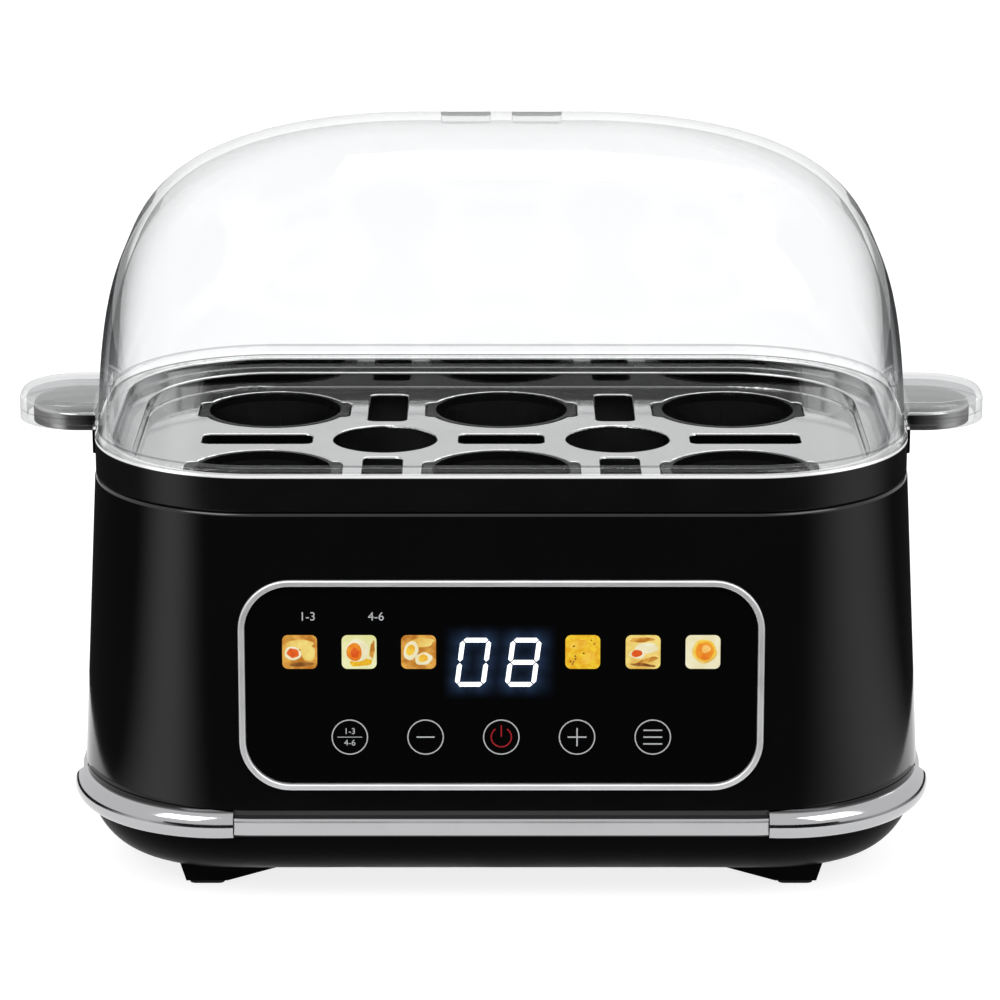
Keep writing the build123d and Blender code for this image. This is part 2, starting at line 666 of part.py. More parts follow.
def heating_bowl():
    foot_inset = BOWL_INSET + BOWL_DRAFT
    neck_z = BOWL_FLANGE_Z - BOWL_STRAIGHT
    bowl = tapered_slab(foot_inset, BOWL_BOTTOM_Z, BOWL_INSET, neck_z)
    bowl = fillet(level_edges(bowl, BOWL_BOTTOM_Z), BOWL_BOTTOM_RADIUS)
    bowl += rim_slab(BOWL_INSET, neck_z, BOWL_FLANGE_Z)
    bowl += rim_slab(COLLAR_SHELF - GASKET_WIDTH, BOWL_FLANGE_Z, BOWL_FLANGE_Z + BOWL_SHEET)
    floor_z = BOWL_BOTTOM_Z + BOWL_SHEET
    hollow = tapered_slab(foot_inset + BOWL_SHEET, floor_z, BOWL_INSET + BOWL_SHEET, neck_z)
    hollow = fillet(level_edges(hollow, floor_z), BOWL_BOTTOM_RADIUS - BOWL_SHEET)
    bowl -= hollow
    bowl -= rim_slab(BOWL_INSET + BOWL_SHEET, neck_z, BOWL_FLANGE_Z + CUT + BOWL_SHEET)
    return bowl


# Heater group

def element_plate():
    return rounded_slab(PLATE_HALF_LENGTH, PLATE_HALF_DEPTH, PLATE_CORNER, PLATE_Z, BOWL_BOTTOM_Z)


def element_route():
    low = TUBE_Z - TUBE_LEG
    return [
        (TUBE_END_X, TUBE_HALF_DEPTH, low),
        (TUBE_END_X, TUBE_HALF_DEPTH, TUBE_Z),
        (TUBE_HALF_LENGTH, TUBE_HALF_DEPTH, TUBE_Z),
        (TUBE_HALF_LENGTH, -TUBE_HALF_DEPTH, TUBE_Z),
        (-TUBE_HALF_LENGTH, -TUBE_HALF_DEPTH, TUBE_Z),
        (-TUBE_HALF_LENGTH, TUBE_HALF_DEPTH, TUBE_Z),
        (-TUBE_END_X, TUBE_HALF_DEPTH, TUBE_Z),
        (-TUBE_END_X, TUBE_HALF_DEPTH, low),
    ]


def tube_along(route, radii, radius):
    path = FilletPolyline(*route, radius=radii)
    start = Plane(origin=path @ 0, z_dir=path % 0)
    return sweep(start.location * Circle(radius), path=path)


def heating_element():
    radii = [TUBE_END_RADIUS, TUBE_CORNER, TUBE_CORNER, TUBE_CORNER, TUBE_CORNER, TUBE_END_RADIUS]
    tube = tube_along(element_route(), radii, TUBE_RADIUS)
    low = TUBE_Z - TUBE_LEG
    for side in (-1, 1):
        tube += post(side * TUBE_END_X, TUBE_HALF_DEPTH, TERMINAL_RADIUS, low - TERMINAL_LENGTH, low)
    return tube


def thermostat():
    can = post(THERMOSTAT_X, 0, THERMOSTAT_RADIUS, PLATE_Z - THERMOSTAT_HEIGHT, PLATE_Z)
    for side in (-1, 1):
        high = PLATE_Z - THERMOSTAT_HEIGHT
        low = high - THERMOSTAT_HEIGHT / 2
        x = THERMOSTAT_X + side * THERMOSTAT_RADIUS / 2
        half = CLIP_WIDTH / 3
        can += block(x - CLIP_THICKNESS, x + CLIP_THICKNESS, -half, half, low, high)
    return can


def thermal_fuse():
    z = PLATE_Z - FUSE_RADIUS - HEATER_GAP
    return Pos(FUSE_X, 0, z) * Rot(90, 0, 0) * Cylinder(FUSE_RADIUS, FUSE_LENGTH)


def temperature_sensor():
    body = post(0, 0, SENSOR_RADIUS, PLATE_Z - SENSOR_HEIGHT, PLATE_Z)
    return fillet(level_edges(body, PLATE_Z - SENSOR_HEIGHT), SENSOR_RADIUS / 2)


def fuse_clip():
    # A sheet strap over the fuse, with a flat foot against the plate on each side
    half = FUSE_RADIUS + 2 * HEATER_GAP
    low = PLATE_Z - 2 * half - CLIP_THICKNESS
    x_out = half + CLIP_THICKNESS
    width = CLIP_WIDTH / 2
    strap = block(FUSE_X - x_out, FUSE_X + x_out, -width, width, low, PLATE_Z)
    inner_low = low + CLIP_THICKNESS
    strap -= block(FUSE_X - half, FUSE_X + half, -width - CUT, width + CUT, inner_low, PLATE_Z + CUT)
    for side in (-1, 1):
        near = FUSE_X + side * x_out
        far = near + side * CLIP_WIDTH
        strap += block(min(near, far), max(near, far), -width, width, PLATE_Z - CLIP_THICKNESS, PLATE_Z)
    return strap


def heat_shield():
    top = SHIELD_Z + SHIELD_RIM
    shield = rounded_slab(SHIELD_HALF_LENGTH, SHIELD_HALF_DEPTH, SHIELD_CORNER, SHIELD_Z, top)
    inside = SHIELD_HALF_LENGTH - SHIELD_SHEET
    across = SHIELD_HALF_DEPTH - SHIELD_SHEET
    corner = SHIELD_CORNER - SHIELD_SHEET
    shield -= rounded_slab(inside, across, corner, SHIELD_Z + SHIELD_SHEET, top + CUT)
    window = RectangleRounded(SHIELD_WINDOW_LENGTH, SHIELD_WINDOW_DEPTH, SLOT_CORNER)
    shield -= extrude(Pos(0, TUBE_HALF_DEPTH, SHIELD_Z - CUT) * window, amount=SHIELD_SHEET + 2 * CUT)
    return shield


def shield_studs():
    studs = []
    for x, y in four_corners(PLATE_HALF_LENGTH - STUD_MARGIN, PLATE_HALF_DEPTH - STUD_MARGIN):
        studs.append(post(x, y, STUD_RADIUS, SHIELD_Z + SHIELD_SHEET, PLATE_Z))
    return studs


# Control panel

def panel_bezel():
    proud = BEZEL_PROUD
    ring = panel_slab(PANEL_LENGTH, PANEL_HEIGHT, PANEL_CORNER, -HOUSING_WALL, proud)
    inner_length = PANEL_LENGTH - 2 * BEZEL_WIDTH
    inner_height = PANEL_HEIGHT - 2 * BEZEL_WIDTH
    inner_corner = PANEL_CORNER - BEZEL_WIDTH
    ring -= panel_slab(inner_length, inner_height, inner_corner, -HOUSING_WALL - CUT, proud + CUT)
    ring = fillet(level_edges(ring, proud), BEZEL_EDGE)
    return PANEL_PLACE * ring


def glass_size():
    length = PANEL_LENGTH - 2 * BEZEL_WIDTH - 2 * PANEL_CLEARANCE
    height = PANEL_HEIGHT - 2 * BEZEL_WIDTH - 2 * PANEL_CLEARANCE
    return length, height, PANEL_CORNER - BEZEL_WIDTH - PANEL_CLEARANCE


def glass_back():
    return -GLASS_RECESS - GLASS_THICKNESS


def carrier_back():
    return -HOUSING_WALL - CARRIER_DEPTH - CARRIER_FLANGE


def control_glass():
    length, height, corner = glass_size()
    return PANEL_PLACE * panel_slab(length, height, corner, glass_back(), -GLASS_RECESS)


def panel_carrier():
    length, height, corner = glass_size()
    margin = 2 * BEZEL_WIDTH
    front = carrier_back() + CARRIER_FLANGE
    flange_size = (2 * CARRIER_HALF_LENGTH, 2 * CARRIER_HALF_HEIGHT, CARRIER_CORNER)
    frame = panel_slab(*flange_size, carrier_back(), front)
    frame += panel_slab(length - margin, height - margin, corner - margin / 2, front, glass_back())
    inner = margin + 2 * CARRIER_WALL
    frame -= panel_slab(length - inner, height - inner, corner - inner / 2, carrier_back() - CUT, CUT)
    for x, y in four_corners(CARRIER_SCREW_X, CARRIER_SCREW_Y):
        frame -= Pos(x, y, front) * Cylinder(PANEL_SCREW_RADIUS + SCREW_FIT, 3 * CARRIER_FLANGE)
    return PANEL_PLACE * frame


def control_board():
    half_x = PANEL_LENGTH / 2 - CONTROL_BOARD_SIDE
    half_y = PANEL_HEIGHT / 2 - CONTROL_BOARD_TOP
    top = carrier_back()
    board = block(-half_x, half_x, -half_y, half_y, top - BOARD_THICKNESS, top)
    return PANEL_PLACE * board


def light_guide(side):
    low = min(side * GUIDE_INNER_X, side * GUIDE_OUTER_X)
    high = max(side * GUIDE_INNER_X, side * GUIDE_OUTER_X)
    middle = panel_y(PICTURE_LINE_Z)
    back = carrier_back()
    half = GUIDE_HEIGHT / 2
    guide = block(low, high, middle - half, middle + half, back, glass_back())
    cell = GUIDE_HEIGHT - 2 * CARRIER_WALL
    for x in PICTURE_X:
        guide -= Pos(side * x, middle, back) * Box(cell, cell, 2 * (glass_back() - back - SHEET))
    return PANEL_PLACE * guide


def picture_lamps():
    middle = panel_y(PICTURE_LINE_Z)
    lamps = []
    for side in (-1, 1):
        for x in PICTURE_X:
            place = Pos(side * x, middle, carrier_back() + LAMP_HEIGHT / 2)
            lamps.append(PANEL_PLACE * place * Box(LAMP_SIZE, LAMP_SIZE, LAMP_HEIGHT))
    return lamps


def digit_display():
    middle = panel_y(DISPLAY_Z)
    depth = glass_back() - carrier_back()
    place = Pos(DISPLAY_X, middle, carrier_back() + depth / 2)
    return PANEL_PLACE * place * Box(DISPLAY_LENGTH, DISPLAY_HEIGHT, depth)


def touch_springs():
    springs = []
    middle = panel_y(KEY_LINE_Z)
    length = glass_back() - carrier_back()
    for i in range(KEY_COUNT):
        x = (i - (KEY_COUNT - 1) / 2) * KEY_PITCH
        ring = Cylinder(SPRING_RADIUS, length) - Cylinder(SPRING_RADIUS - SPRING_WALL, length + CUT)
        springs.append(PANEL_PLACE * Pos(x, middle, carrier_back() + length / 2) * ring)
    return springs


# Power board and what stands on it

def power_board():
    half_x = POWER_BOARD_LENGTH / 2
    board = rounded_slab(half_x, POWER_BOARD_DEPTH / 2, SLOT_CORNER, POWER_BOARD_Z, POWER_TOP_Z)
    for x, y in four_corners(STANDOFF_X, STANDOFF_Y):
        board -= post(x, y, SCREW_RADIUS + SCREW_FIT, POWER_BOARD_Z - CUT, POWER_TOP_Z + CUT)
    return board


def boxed(size, place):
    length, depth, height = size
    return Pos(*place, POWER_TOP_Z + height / 2) * Box(length, depth, height)


def transformer():
    core = boxed(TRANSFORMER_SIZE, TRANSFORMER_PLACE)
    return fillet(core.edges().filter_by(Axis.Z), SLOT_CORNER)


def relay():
    can = boxed(RELAY_SIZE, RELAY_PLACE)
    return fillet(level_edges(can, POWER_TOP_Z + RELAY_SIZE[2]), SLOT_CORNER / 2)


def capacitor():
    x, y = CAPACITOR_PLACE
    can = post(x, y, CAPACITOR_RADIUS, POWER_TOP_Z, POWER_TOP_Z + CAPACITOR_HEIGHT)
    return fillet(level_edges(can, POWER_TOP_Z + CAPACITOR_HEIGHT), SLOT_CORNER / 2)


def terminal_x(way):
    pitch = TERMINAL_BLOCK_SIZE[0] / TERMINAL_WAYS
    return TERMINAL_BLOCK_PLACE[0] + (way - (TERMINAL_WAYS - 1) / 2) * pitch


def terminal_block():
    body = boxed(TERMINAL_BLOCK_SIZE, TERMINAL_BLOCK_PLACE)
    top = POWER_TOP_Z + TERMINAL_BLOCK_SIZE[2]
    y = TERMINAL_BLOCK_PLACE[1]
    for way in range(TERMINAL_WAYS):
        body -= post(terminal_x(way), y, LEAD_RADIUS + SCREW_FIT, terminal_seat(), top + CUT)
    return body


def terminal_seat():
    return POWER_TOP_Z + TERMINAL_BLOCK_SIZE[2] / 2


def buzzer():
    x, y = BUZZER_PLACE
    top = POWER_TOP_Z + BUZZER_HEIGHT
    can = post(x, y, BUZZER_RADIUS, POWER_TOP_Z, top)
    return can - post(x, y, TERMINAL_RADIUS, top - SHEET, top + CUT)


# Wires

def heater_leads():
    # Two leads, from the heater's terminals down to the inner ways of the terminal block
    start_z = TUBE_Z - TUBE_LEG - TERMINAL_LENGTH
    end_y = TERMINAL_BLOCK_PLACE[1]
    top = POWER_TOP_Z + TERMINAL_BLOCK_SIZE[2]
    leads = []
    for side, way in ((-1, 0), (1, 1)):
        x = side * TUBE_END_X
        route = [
            (x, TUBE_HALF_DEPTH, start_z),
            (x, TUBE_HALF_DEPTH, start_z - LEAD_DROP),
            (terminal_x(way), end_y, top + LEAD_RISE),
            (terminal_x(way), end_y, terminal_seat()),
        ]
        leads.append(tube_along(route, LEAD_BENDS, LEAD_RADIUS))
    return leads


def ribbon_cable():
    # A flat cable, down from the back of the control board and over to the power board
    behind = carrier_back() - BOARD_THICKNESS
    board_back = (PANEL_PLACE * Pos(0, panel_y(KEY_LINE_Z), behind)).position
    board_edge = -POWER_BOARD_DEPTH / 2 + 2 * RIBBON_THICKNESS
    bend_z = POWER_TOP_Z + 2 * RIBBON_THICKNESS
    points = [
        (board_back.Y, board_back.Z),
        (board_back.Y + 2 * RIBBON_THICKNESS, bend_z + 2 * RIBBON_THICKNESS),
        (board_edge, bend_z),
        (board_edge, POWER_TOP_Z),
    ]
    outline = make_face(Plane.YZ.location * thick_line(points))
    return extrude(outline, amount=RIBBON_WIDTH / 2, both=True)


def thick_line(points):
    # A closed strip of the cable's thickness on one side of an open line of points
    shifted = [(y + RIBBON_THICKNESS, z + RIBBON_THICKNESS) for y, z in reversed(points)]
    return Polyline(points + shifted, close=True)


# Cord inlet

def cord_inlet():
    bush = Pos(0, 0, INLET_FLANGE / 2) * Cylinder(INLET_FLANGE_RADIUS, INLET_FLANGE)
    bush = fillet(level_edges(bush, INLET_FLANGE), INLET_FLANGE / 2)
    bush += Pos(0, 0, -HOUSING_WALL / 2) * Cylinder(INLET_NECK_RADIUS, HOUSING_WALL)
    lock = INLET_NECK_RADIUS + INLET_FLANGE / 2
    bush += Pos(0, 0, -HOUSING_WALL - INLET_FLANGE / 2) * Cylinder(lock, INLET_FLANGE)
    bush -= Cylinder(INLET_BORE_RADIUS, 2 * (HOUSING_WALL + INLET_FLANGE + CUT))
    return INLET_PLACE * bush


# Screws

def screw(radius, length, head_radius):
    # Head below z = 0, shank above
    head = Pos(0, 0, -SCREW_HEAD_HEIGHT / 2) * Cylinder(head_radius, SCREW_HEAD_HEIGHT)
    slot = Pos(0, 0, -SCREW_HEAD_HEIGHT) * Box(head_radius, SHEET, 2 * SHEET)
    shank = Pos(0, 0, length / 2) * Cylinder(radius, length)
    return head + shank - slot - Rot(0, 0, 90) * slot


def base_screws():
    one = Pos(0, 0, base_screw_seat()) * screw(SCREW_RADIUS, BASE_SCREW_LENGTH, SCREW_HEAD_RADIUS)
    return [Pos(x, y, 0) * one for x, y in four_corners(BASE_SCREW_X, BASE_SCREW_Y)]


def collar_screws():
    seat = COLLAR_Z - TOP_FLANGE
    one = screw(COLLAR_SCREW_RADIUS, COLLAR_SCREW_LENGTH - SHEET, COLLAR_HEAD_RADIUS)
    return [Pos(x, y, seat) * one for x, y in collar_screw_places()]


def panel_screws():
    one = screw(PANEL_SCREW_RADIUS, PANEL_SCREW_LENGTH, PANEL_HEAD_RADIUS)
    places = four_corners(CARRIER_SCREW_X, CARRIER_SCREW_Y)
    return [PANEL_PLACE * Pos(x, y, carrier_back()) * one for x, y in places]


def board_screws():
    one = Rot(180, 0, 0) * screw(SCREW_RADIUS, BOARD_SCREW_LENGTH, SCREW_HEAD_RADIUS)
    places = four_corners(STANDOFF_X, STANDOFF_Y)
    return [Pos(x, y, POWER_TOP_Z) * one for x, y in places]


# Egg tray

def slot_cutter(x, y, length, depth):
    outline = Pos(x, y, TRAY_FLOOR_Z - SHEET - CUT) * RectangleRounded(length, depth, SLOT_CORNER)
    return extrude(outline, amount=SHEET + 2 * CUT)


def cup_cutter(x, y):
    low = TRAY_FLOOR_Z - SHEET - CUT
    high = TRAY_FLOOR_Z + CUT
    ears = Pos(x, y, low) * RectangleRounded(2 * CUP_EAR_REACH, CUP_EAR_WIDTH, SLOT_CORNER)
    return post(x, y, CUP_HOLE_RADIUS, low, high) + extrude(ears, amount=high - low)


def egg_tray():
    tray = rim_slab(tray_rim_inset(), RIM_Z - SHEET, RIM_Z)
    tray += rim_slab(TRAY_STEP_INSET, TRAY_LEDGE_Z - SHEET, RIM_Z)
    tray += rim_slab(TRAY_FLOOR_INSET - SHEET, TRAY_FLOOR_Z - SHEET, TRAY_LEDGE_Z)
    tray -= rim_slab(TRAY_STEP_INSET + SHEET, TRAY_LEDGE_Z, RIM_Z + CUT)
    tray -= rim_slab(TRAY_FLOOR_INSET, TRAY_FLOOR_Z, TRAY_LEDGE_Z + CUT)
    for z, inset in ((RIM_Z, TRAY_STEP_INSET + SHEET), (TRAY_LEDGE_Z, TRAY_FLOOR_INSET)):
        tray = fillet(loop_edges(tray, z, inset), TRAY_BEND)
    for z, inset in ((TRAY_LEDGE_Z, TRAY_STEP_INSET + SHEET), (TRAY_FLOOR_Z, TRAY_FLOOR_INSET)):
        tray = fillet(loop_edges(tray, z, inset), TRAY_BEND)
    for x, y in CUP_CENTRES:
        tray -= cup_cutter(x, y)
    low = TRAY_FLOOR_Z - SHEET - CUT
    for side in (-1, 1):
        tray -= post(side * ROUND_HOLE_X, 0, ROUND_HOLE_RADIUS, low, TRAY_FLOOR_Z + CUT)
        tray -= slot_cutter(side * SIDE_SLOT_X, 0, SIDE_SLOT_LENGTH, FLAT_SLOT_WIDTH)
        for end in (-1, 1):
            x = side * ROUND_HOLE_X
            tray -= slot_cutter(x, end * CROSS_SLOT_Y, CROSS_SLOT_WIDTH, CROSS_SLOT_LENGTH)
    tray -= slot_cutter(0, 0, MIDDLE_SLOT_LENGTH, FLAT_SLOT_WIDTH)
    past_bend = TRAY_FLOOR_INSET + 3 * TRAY_BEND
    rims = [e for e in level_edges(tray, TRAY_FLOOR_Z) if inset_of(e @ 0.5) > past_bend]
    tray = fillet(rims, HOLE_EDGE_RADIUS)
    for side in (-1, 1):
        tray += tray_tab(side)
    return tray


def tray_rim_inset():
    return COLLAR_LIP + TRAY_RIM_GAP


def tray_tab(side):
    # A strip through the collar's notch, then a cap pressed upwards from the same sheet
    near = RIM_HALF_LENGTH - TRAY_STEP_INSET
    far = TAB_INNER_X + SHEET
    tab = block(near, far, -TAB_HALF_WIDTH, TAB_HALF_WIDTH, RIM_Z - SHEET, RIM_Z)
    tab += tab_cap(0) - tab_cap(SHEET)
    tab += block(TAB_INNER_X, far, -TAB_HALF_WIDTH, TAB_HALF_WIDTH, RIM_Z - SHEET, RIM_Z + SHEET)
    return tab if side > 0 else mirror(tab, Plane.YZ)


def tab_cap(inward):
    # The cap's outside, or with one sheet's thickness inward the hollow under it
    top = RIM_Z + TAB_RISE - inward
    low = RIM_Z - SHEET - (CUT if inward else 0)
    corner = TAB_CORNER - inward
    cap = rounded_slab(TAB_REACH - inward, TAB_CAP_HALF_WIDTH - inward, corner, low, top)
    start = TAB_INNER_X + inward
    cap &= block(start, RIM_HALF_LENGTH * 2, -RIM_HALF_DEPTH, RIM_HALF_DEPTH, low, top)
    return cap if inward else fillet(level_edges(cap, top), TAB_EDGE)


def rivet_x():
    return HOOK_X + HOOK_LENGTH * RIVET_X_SHARE


def egg_cup(x, y):
    # Turned about its own axis; the flange sits under the sheet and the neck fills the hole
    top = TRAY_FLOOR_Z
    flange_top = top - SHEET - CUP_CLEARANCE / 2
    flange_low = flange_top - CUP_FLANGE_THICKNESS
    neck = CUP_HOLE_RADIUS - CUP_CLEARANCE
    foot_z = top - CUP_DEPTH
    section = make_face(Polyline([
        (neck - CUP_WALL, top),
        (neck, top),
        (neck, flange_top),
        (CUP_HOLE_RADIUS + CUP_FLANGE, flange_top),
        (CUP_HOLE_RADIUS + CUP_FLANGE, flange_low),
        (neck, flange_low),
        (CUP_FOOT_RADIUS, foot_z),
        (CUP_DRAIN_RADIUS, foot_z),
        (CUP_DRAIN_RADIUS, foot_z + CUP_WALL),
        (CUP_FOOT_RADIUS - CUP_WALL, foot_z + CUP_WALL),
        (neck - CUP_WALL, flange_low),
    ], close=True))
    upright = Plane(origin=(0, 0, 0), x_dir=(1, 0, 0), z_dir=(0, -1, 0)).location * section
    cup = revolve(upright, Axis.Z)
    for side in (-1, 1):
        near = neck - CUP_WALL
        far = CUP_EAR_REACH - CUP_CLEARANCE
        half = CUP_EAR_WIDTH / 2 - CUP_CLEARANCE
        low_x = min(side * near, side * far)
        high_x = max(side * near, side * far)
        ear = block(low_x, high_x, -half, half, flange_low, top)
        cup += fillet(outer_uprights(ear, far), SLOT_CORNER - CUP_CLEARANCE)
        cup += cup_rib(side)
    return Pos(x, y, 0) * cup


def cup_rib(side):
    # A low wedge inside the wall that keeps the egg off it
    top = TRAY_FLOOR_Z - 2 * CUP_FLANGE_THICKNESS
    low = TRAY_FLOOR_Z - CUP_DEPTH + CUP_WALL
    top_r = CUP_HOLE_RADIUS - CUP_CLEARANCE - CUP_WALL / 2
    low_r = CUP_FOOT_RADIUS - CUP_WALL / 2
    shape = make_face(Polyline([
        (top_r, top),
        (top_r - CUP_RIB, top - CUP_RIB),
        (low_r - CUP_RIB, low),
        (low_r, low),
    ], close=True))
    upright = Plane(origin=(0, 0, 0), x_dir=(0, side, 0), z_dir=(side, 0, 0)).location * shape
    return extrude(upright, amount=CUP_RIB / 2, both=True)


def tray_grip(side):
    # A block inside the cap, with a lip that hangs down just outside the collar
    half = TAB_HALF_WIDTH
    low = RIM_Z - SHEET
    top = RIM_Z + TAB_RISE - SHEET
    grip = block(HOOK_X, HOOK_X + HOOK_LENGTH, -half, half, low, top)
    lip_half = half - HOOK_LENGTH / 2
    lip = block(TAB_INNER_X, HOOK_X + HOOK_LIP / 2, -lip_half, lip_half, low - HOOK_LIP_DEPTH, low)
    grip += fillet(level_edges(lip, low - HOOK_LIP_DEPTH), HOOK_EDGE)
    for end in (-1, 1):
        grip -= post(rivet_x(), end * RIVET_Y, RIVET_RADIUS, low - CUT, top + CUT)
    return grip if side > 0 else mirror(grip, Plane.YZ)


def tray_rivets():
    # Welded under the cap, with their heads below the hooks
    low = RIM_Z - SHEET
    rivets = []
    for x, y in four_corners(rivet_x(), RIVET_Y):
        shank = post(x, y, RIVET_RADIUS, low, RIM_Z + TAB_RISE - SHEET)
        rivets.append(shank + post(x, y, RIVET_HEAD, low - RIVET_HEAD_HEIGHT, low))
    return rivets


# Lid

def lid_section(share, inward):
    # share runs from 0 at the rim to 1 at the crown
    half_x = RIM_HALF_LENGTH - LID_SETBACK - LID_DRAFT * share
    half_y = RIM_HALF_DEPTH - LID_SETBACK - LID_DRAFT * share
    half_x *= (1 - share ** LID_SIDE_POWER) ** (1 / LID_SIDE_POWER)
    half_y *= (1 - share ** LID_FRONT_POWER) ** (1 / LID_FRONT_POWER)
    half_x -= inward
    half_y -= inward
    rim_roundness = (RIM_CORNER - LID_SETBACK) / (RIM_HALF_DEPTH - LID_SETBACK)
    corner = half_y * (rim_roundness + (LID_CROWN_SHARE - rim_roundness) * share ** 2)
    z = RIM_Z + share * (LID_HEIGHT - inward)
    return Pos(0, 0, z) * RectangleRounded(2 * half_x, 2 * half_y, corner)


def lid_shell(inward):
    steps = [*range(LID_STEPS), LID_STEPS - 0.5]
    shares = [math.sin(math.pi / 2 * step / LID_STEPS) ** (2 / LID_SIDE_POWER) for step in steps]
    return loft([lid_section(share, inward) for share in shares])


def handle_body():
    top = RIM_Z + HANDLE_HEIGHT
    body = rounded_slab(HANDLE_REACH, HANDLE_HALF_WIDTH, HANDLE_CORNER, RIM_Z, top)
    return fillet(level_edges(body, top), HANDLE_EDGE)


def handle_hollow():
    half_length = HANDLE_REACH - HANDLE_WALL
    half_width = HANDLE_HALF_WIDTH - HANDLE_WALL
    top = RIM_Z + HANDLE_HEIGHT - HANDLE_WALL
    hollow = rounded_slab(half_length, half_width, HANDLE_CORNER - HANDLE_WALL, RIM_Z - CUT, top)
    start = RIM_HALF_LENGTH + HANDLE_HOLLOW_SETBACK
    return hollow - block(-start, start, -RIM_HALF_DEPTH, RIM_HALF_DEPTH, 0, LID_TOP_Z)


def lid_bead():
    bead = rim_slab(0, RIM_Z, RIM_Z + LID_BEAD_HEIGHT)
    return fillet(loop_edges(bead, RIM_Z + LID_BEAD_HEIGHT, 0), LID_BEAD_RADIUS)


def lid_dome():
    lid = lid_shell(0) + lid_bead() + handle_body()
    lid -= lid_shell(LID_WALL)
    lid -= handle_hollow()
    lip_outer = TRAY_STEP_INSET + SHEET + LID_LIP_GAP
    lip_inner = lip_outer + LID_LIP
    lid += rim_ring(LID_SETBACK + LID_WALL / 2, lip_inner, RIM_Z, RIM_Z + LID_SHELF_THICKNESS)
    lid += rim_ring(lip_outer, lip_inner, RIM_Z - LID_LIP_DEPTH, RIM_Z)
    slot = SlotOverall(STEAM_SLOT_LENGTH, STEAM_SLOT_WIDTH)
    for side in (-1, 1):
        place = Pos(side * STEAM_SLOT_X, STEAM_SLOT_Y, RIM_Z + LID_HEIGHT / 2)
        lid -= extrude(place * slot, amount=LID_HEIGHT)
    return lid


# Every node by name

def all_nodes():
    nodes = {
        "lid_dome": lid_dome(),
        "egg_tray": egg_tray(),
        "tray_grip_left": tray_grip(-1),
        "tray_grip_right": tray_grip(1),
        "tray_rivets": tray_rivets(),
        "upper_collar": upper_collar(),
        "main_housing": main_housing(),
        "base_pan": base_pan(),
        "trim_strip_front": long_strip(-1),
        "trim_strip_rear": long_strip(1),
        "trim_strip_left": short_strip(-1),
        "trim_strip_right": short_strip(1),
        "bowl_gasket": bowl_gasket(),
        "heating_bowl": heating_bowl(),
        "element_plate": element_plate(),
        "heating_element": heating_element(),
        "thermostat": thermostat(),
        "thermal_fuse": thermal_fuse(),
        "temperature_sensor": temperature_sensor(),
        "fuse_clip": fuse_clip(),
        "heat_shield": heat_shield(),
        "shield_studs": shield_studs(),
        "panel_bezel": panel_bezel(),
        "control_glass": control_glass(),
        "panel_carrier": panel_carrier(),
        "control_board": control_board(),
        "digit_display": digit_display(),
        "light_guide_left": light_guide(-1),
        "light_guide_right": light_guide(1),
        "picture_lamps": picture_lamps(),
        "touch_springs": touch_springs(),
        "power_board": power_board(),
        "transformer": transformer(),
        "relay": relay(),
        "capacitor": capacitor(),
        "terminal_block": terminal_block(),
        "buzzer": buzzer(),
        "ribbon_cable": ribbon_cable(),
        "heater_leads": heater_leads(),
        "cord_inlet": cord_inlet(),
        "base_screws": base_screws(),
        "collar_screws": collar_screws(),
        "panel_screws": panel_screws(),
        "board_screws": board_screws(),
    }
    for row, end in (("front", -1), ("rear", 1)):
        for place, side in (("left", -1), ("right", 1)):
            nodes[f"corner_bumper_{row}_{place}"] = corner_bumper(side, end)
            nodes[f"foot_pad_{row}_{place}"] = foot_pad(side, end)
    places = [row + "_" + place for row in ("front", "rear") for place in ("left", "middle", "right")]
    for place, (x, y) in zip(places, CUP_CENTRES):
        nodes["egg_cup_" + place] = egg_cup(x, y)
    return nodes


def save(name, shape):
    if isinstance(shape, list):
        shape = Compound(children=shape)
    export_step(shape, os.path.join("parts", name + ".step"))


os.makedirs("parts", exist_ok=True)
for node_name, node_shape in all_nodes().items():
    save(node_name, node_shape)
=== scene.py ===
"""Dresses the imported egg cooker: clear lid, bright tray, gloss black body and lit control panel."""
import json
import math
import random
import bmesh
import bpy
from bpy.props import FloatProperty, FloatVectorProperty, PointerProperty
from mathutils import Matrix, Vector


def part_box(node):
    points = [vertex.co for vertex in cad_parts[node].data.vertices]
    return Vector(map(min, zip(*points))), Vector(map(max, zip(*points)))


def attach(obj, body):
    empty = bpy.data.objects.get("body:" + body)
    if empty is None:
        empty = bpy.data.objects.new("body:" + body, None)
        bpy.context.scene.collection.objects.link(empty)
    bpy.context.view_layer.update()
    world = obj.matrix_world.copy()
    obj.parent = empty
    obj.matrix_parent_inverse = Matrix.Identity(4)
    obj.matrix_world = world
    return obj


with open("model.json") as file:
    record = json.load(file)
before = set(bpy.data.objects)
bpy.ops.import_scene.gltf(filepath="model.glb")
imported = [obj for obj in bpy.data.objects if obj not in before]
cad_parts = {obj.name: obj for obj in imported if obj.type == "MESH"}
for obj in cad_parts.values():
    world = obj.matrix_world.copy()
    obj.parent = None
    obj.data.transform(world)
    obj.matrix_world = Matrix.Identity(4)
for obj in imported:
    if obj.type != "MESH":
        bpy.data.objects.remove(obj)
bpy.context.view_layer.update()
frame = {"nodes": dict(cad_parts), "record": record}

bl_info = {
    "name": "Egg Cooker Dressing",
    "version": (1, 0, 0),
    "blender": (4, 5, 0),
    "location": "3D View > Sidebar > Egg Cooker",
    "description": "Finishes, panel marks and studio for a six-egg steam cooker",
    "category": "Object",
}

NODES = frame["nodes"]
MM = 0.001
WHITE = (1.0, 1.0, 1.0)


# Sizes and colours that a user would change


def length(name, description, millimetres):
    return FloatProperty(
        name=name, description=description, default=millimetres * MM, subtype="DISTANCE", unit="LENGTH"
    )


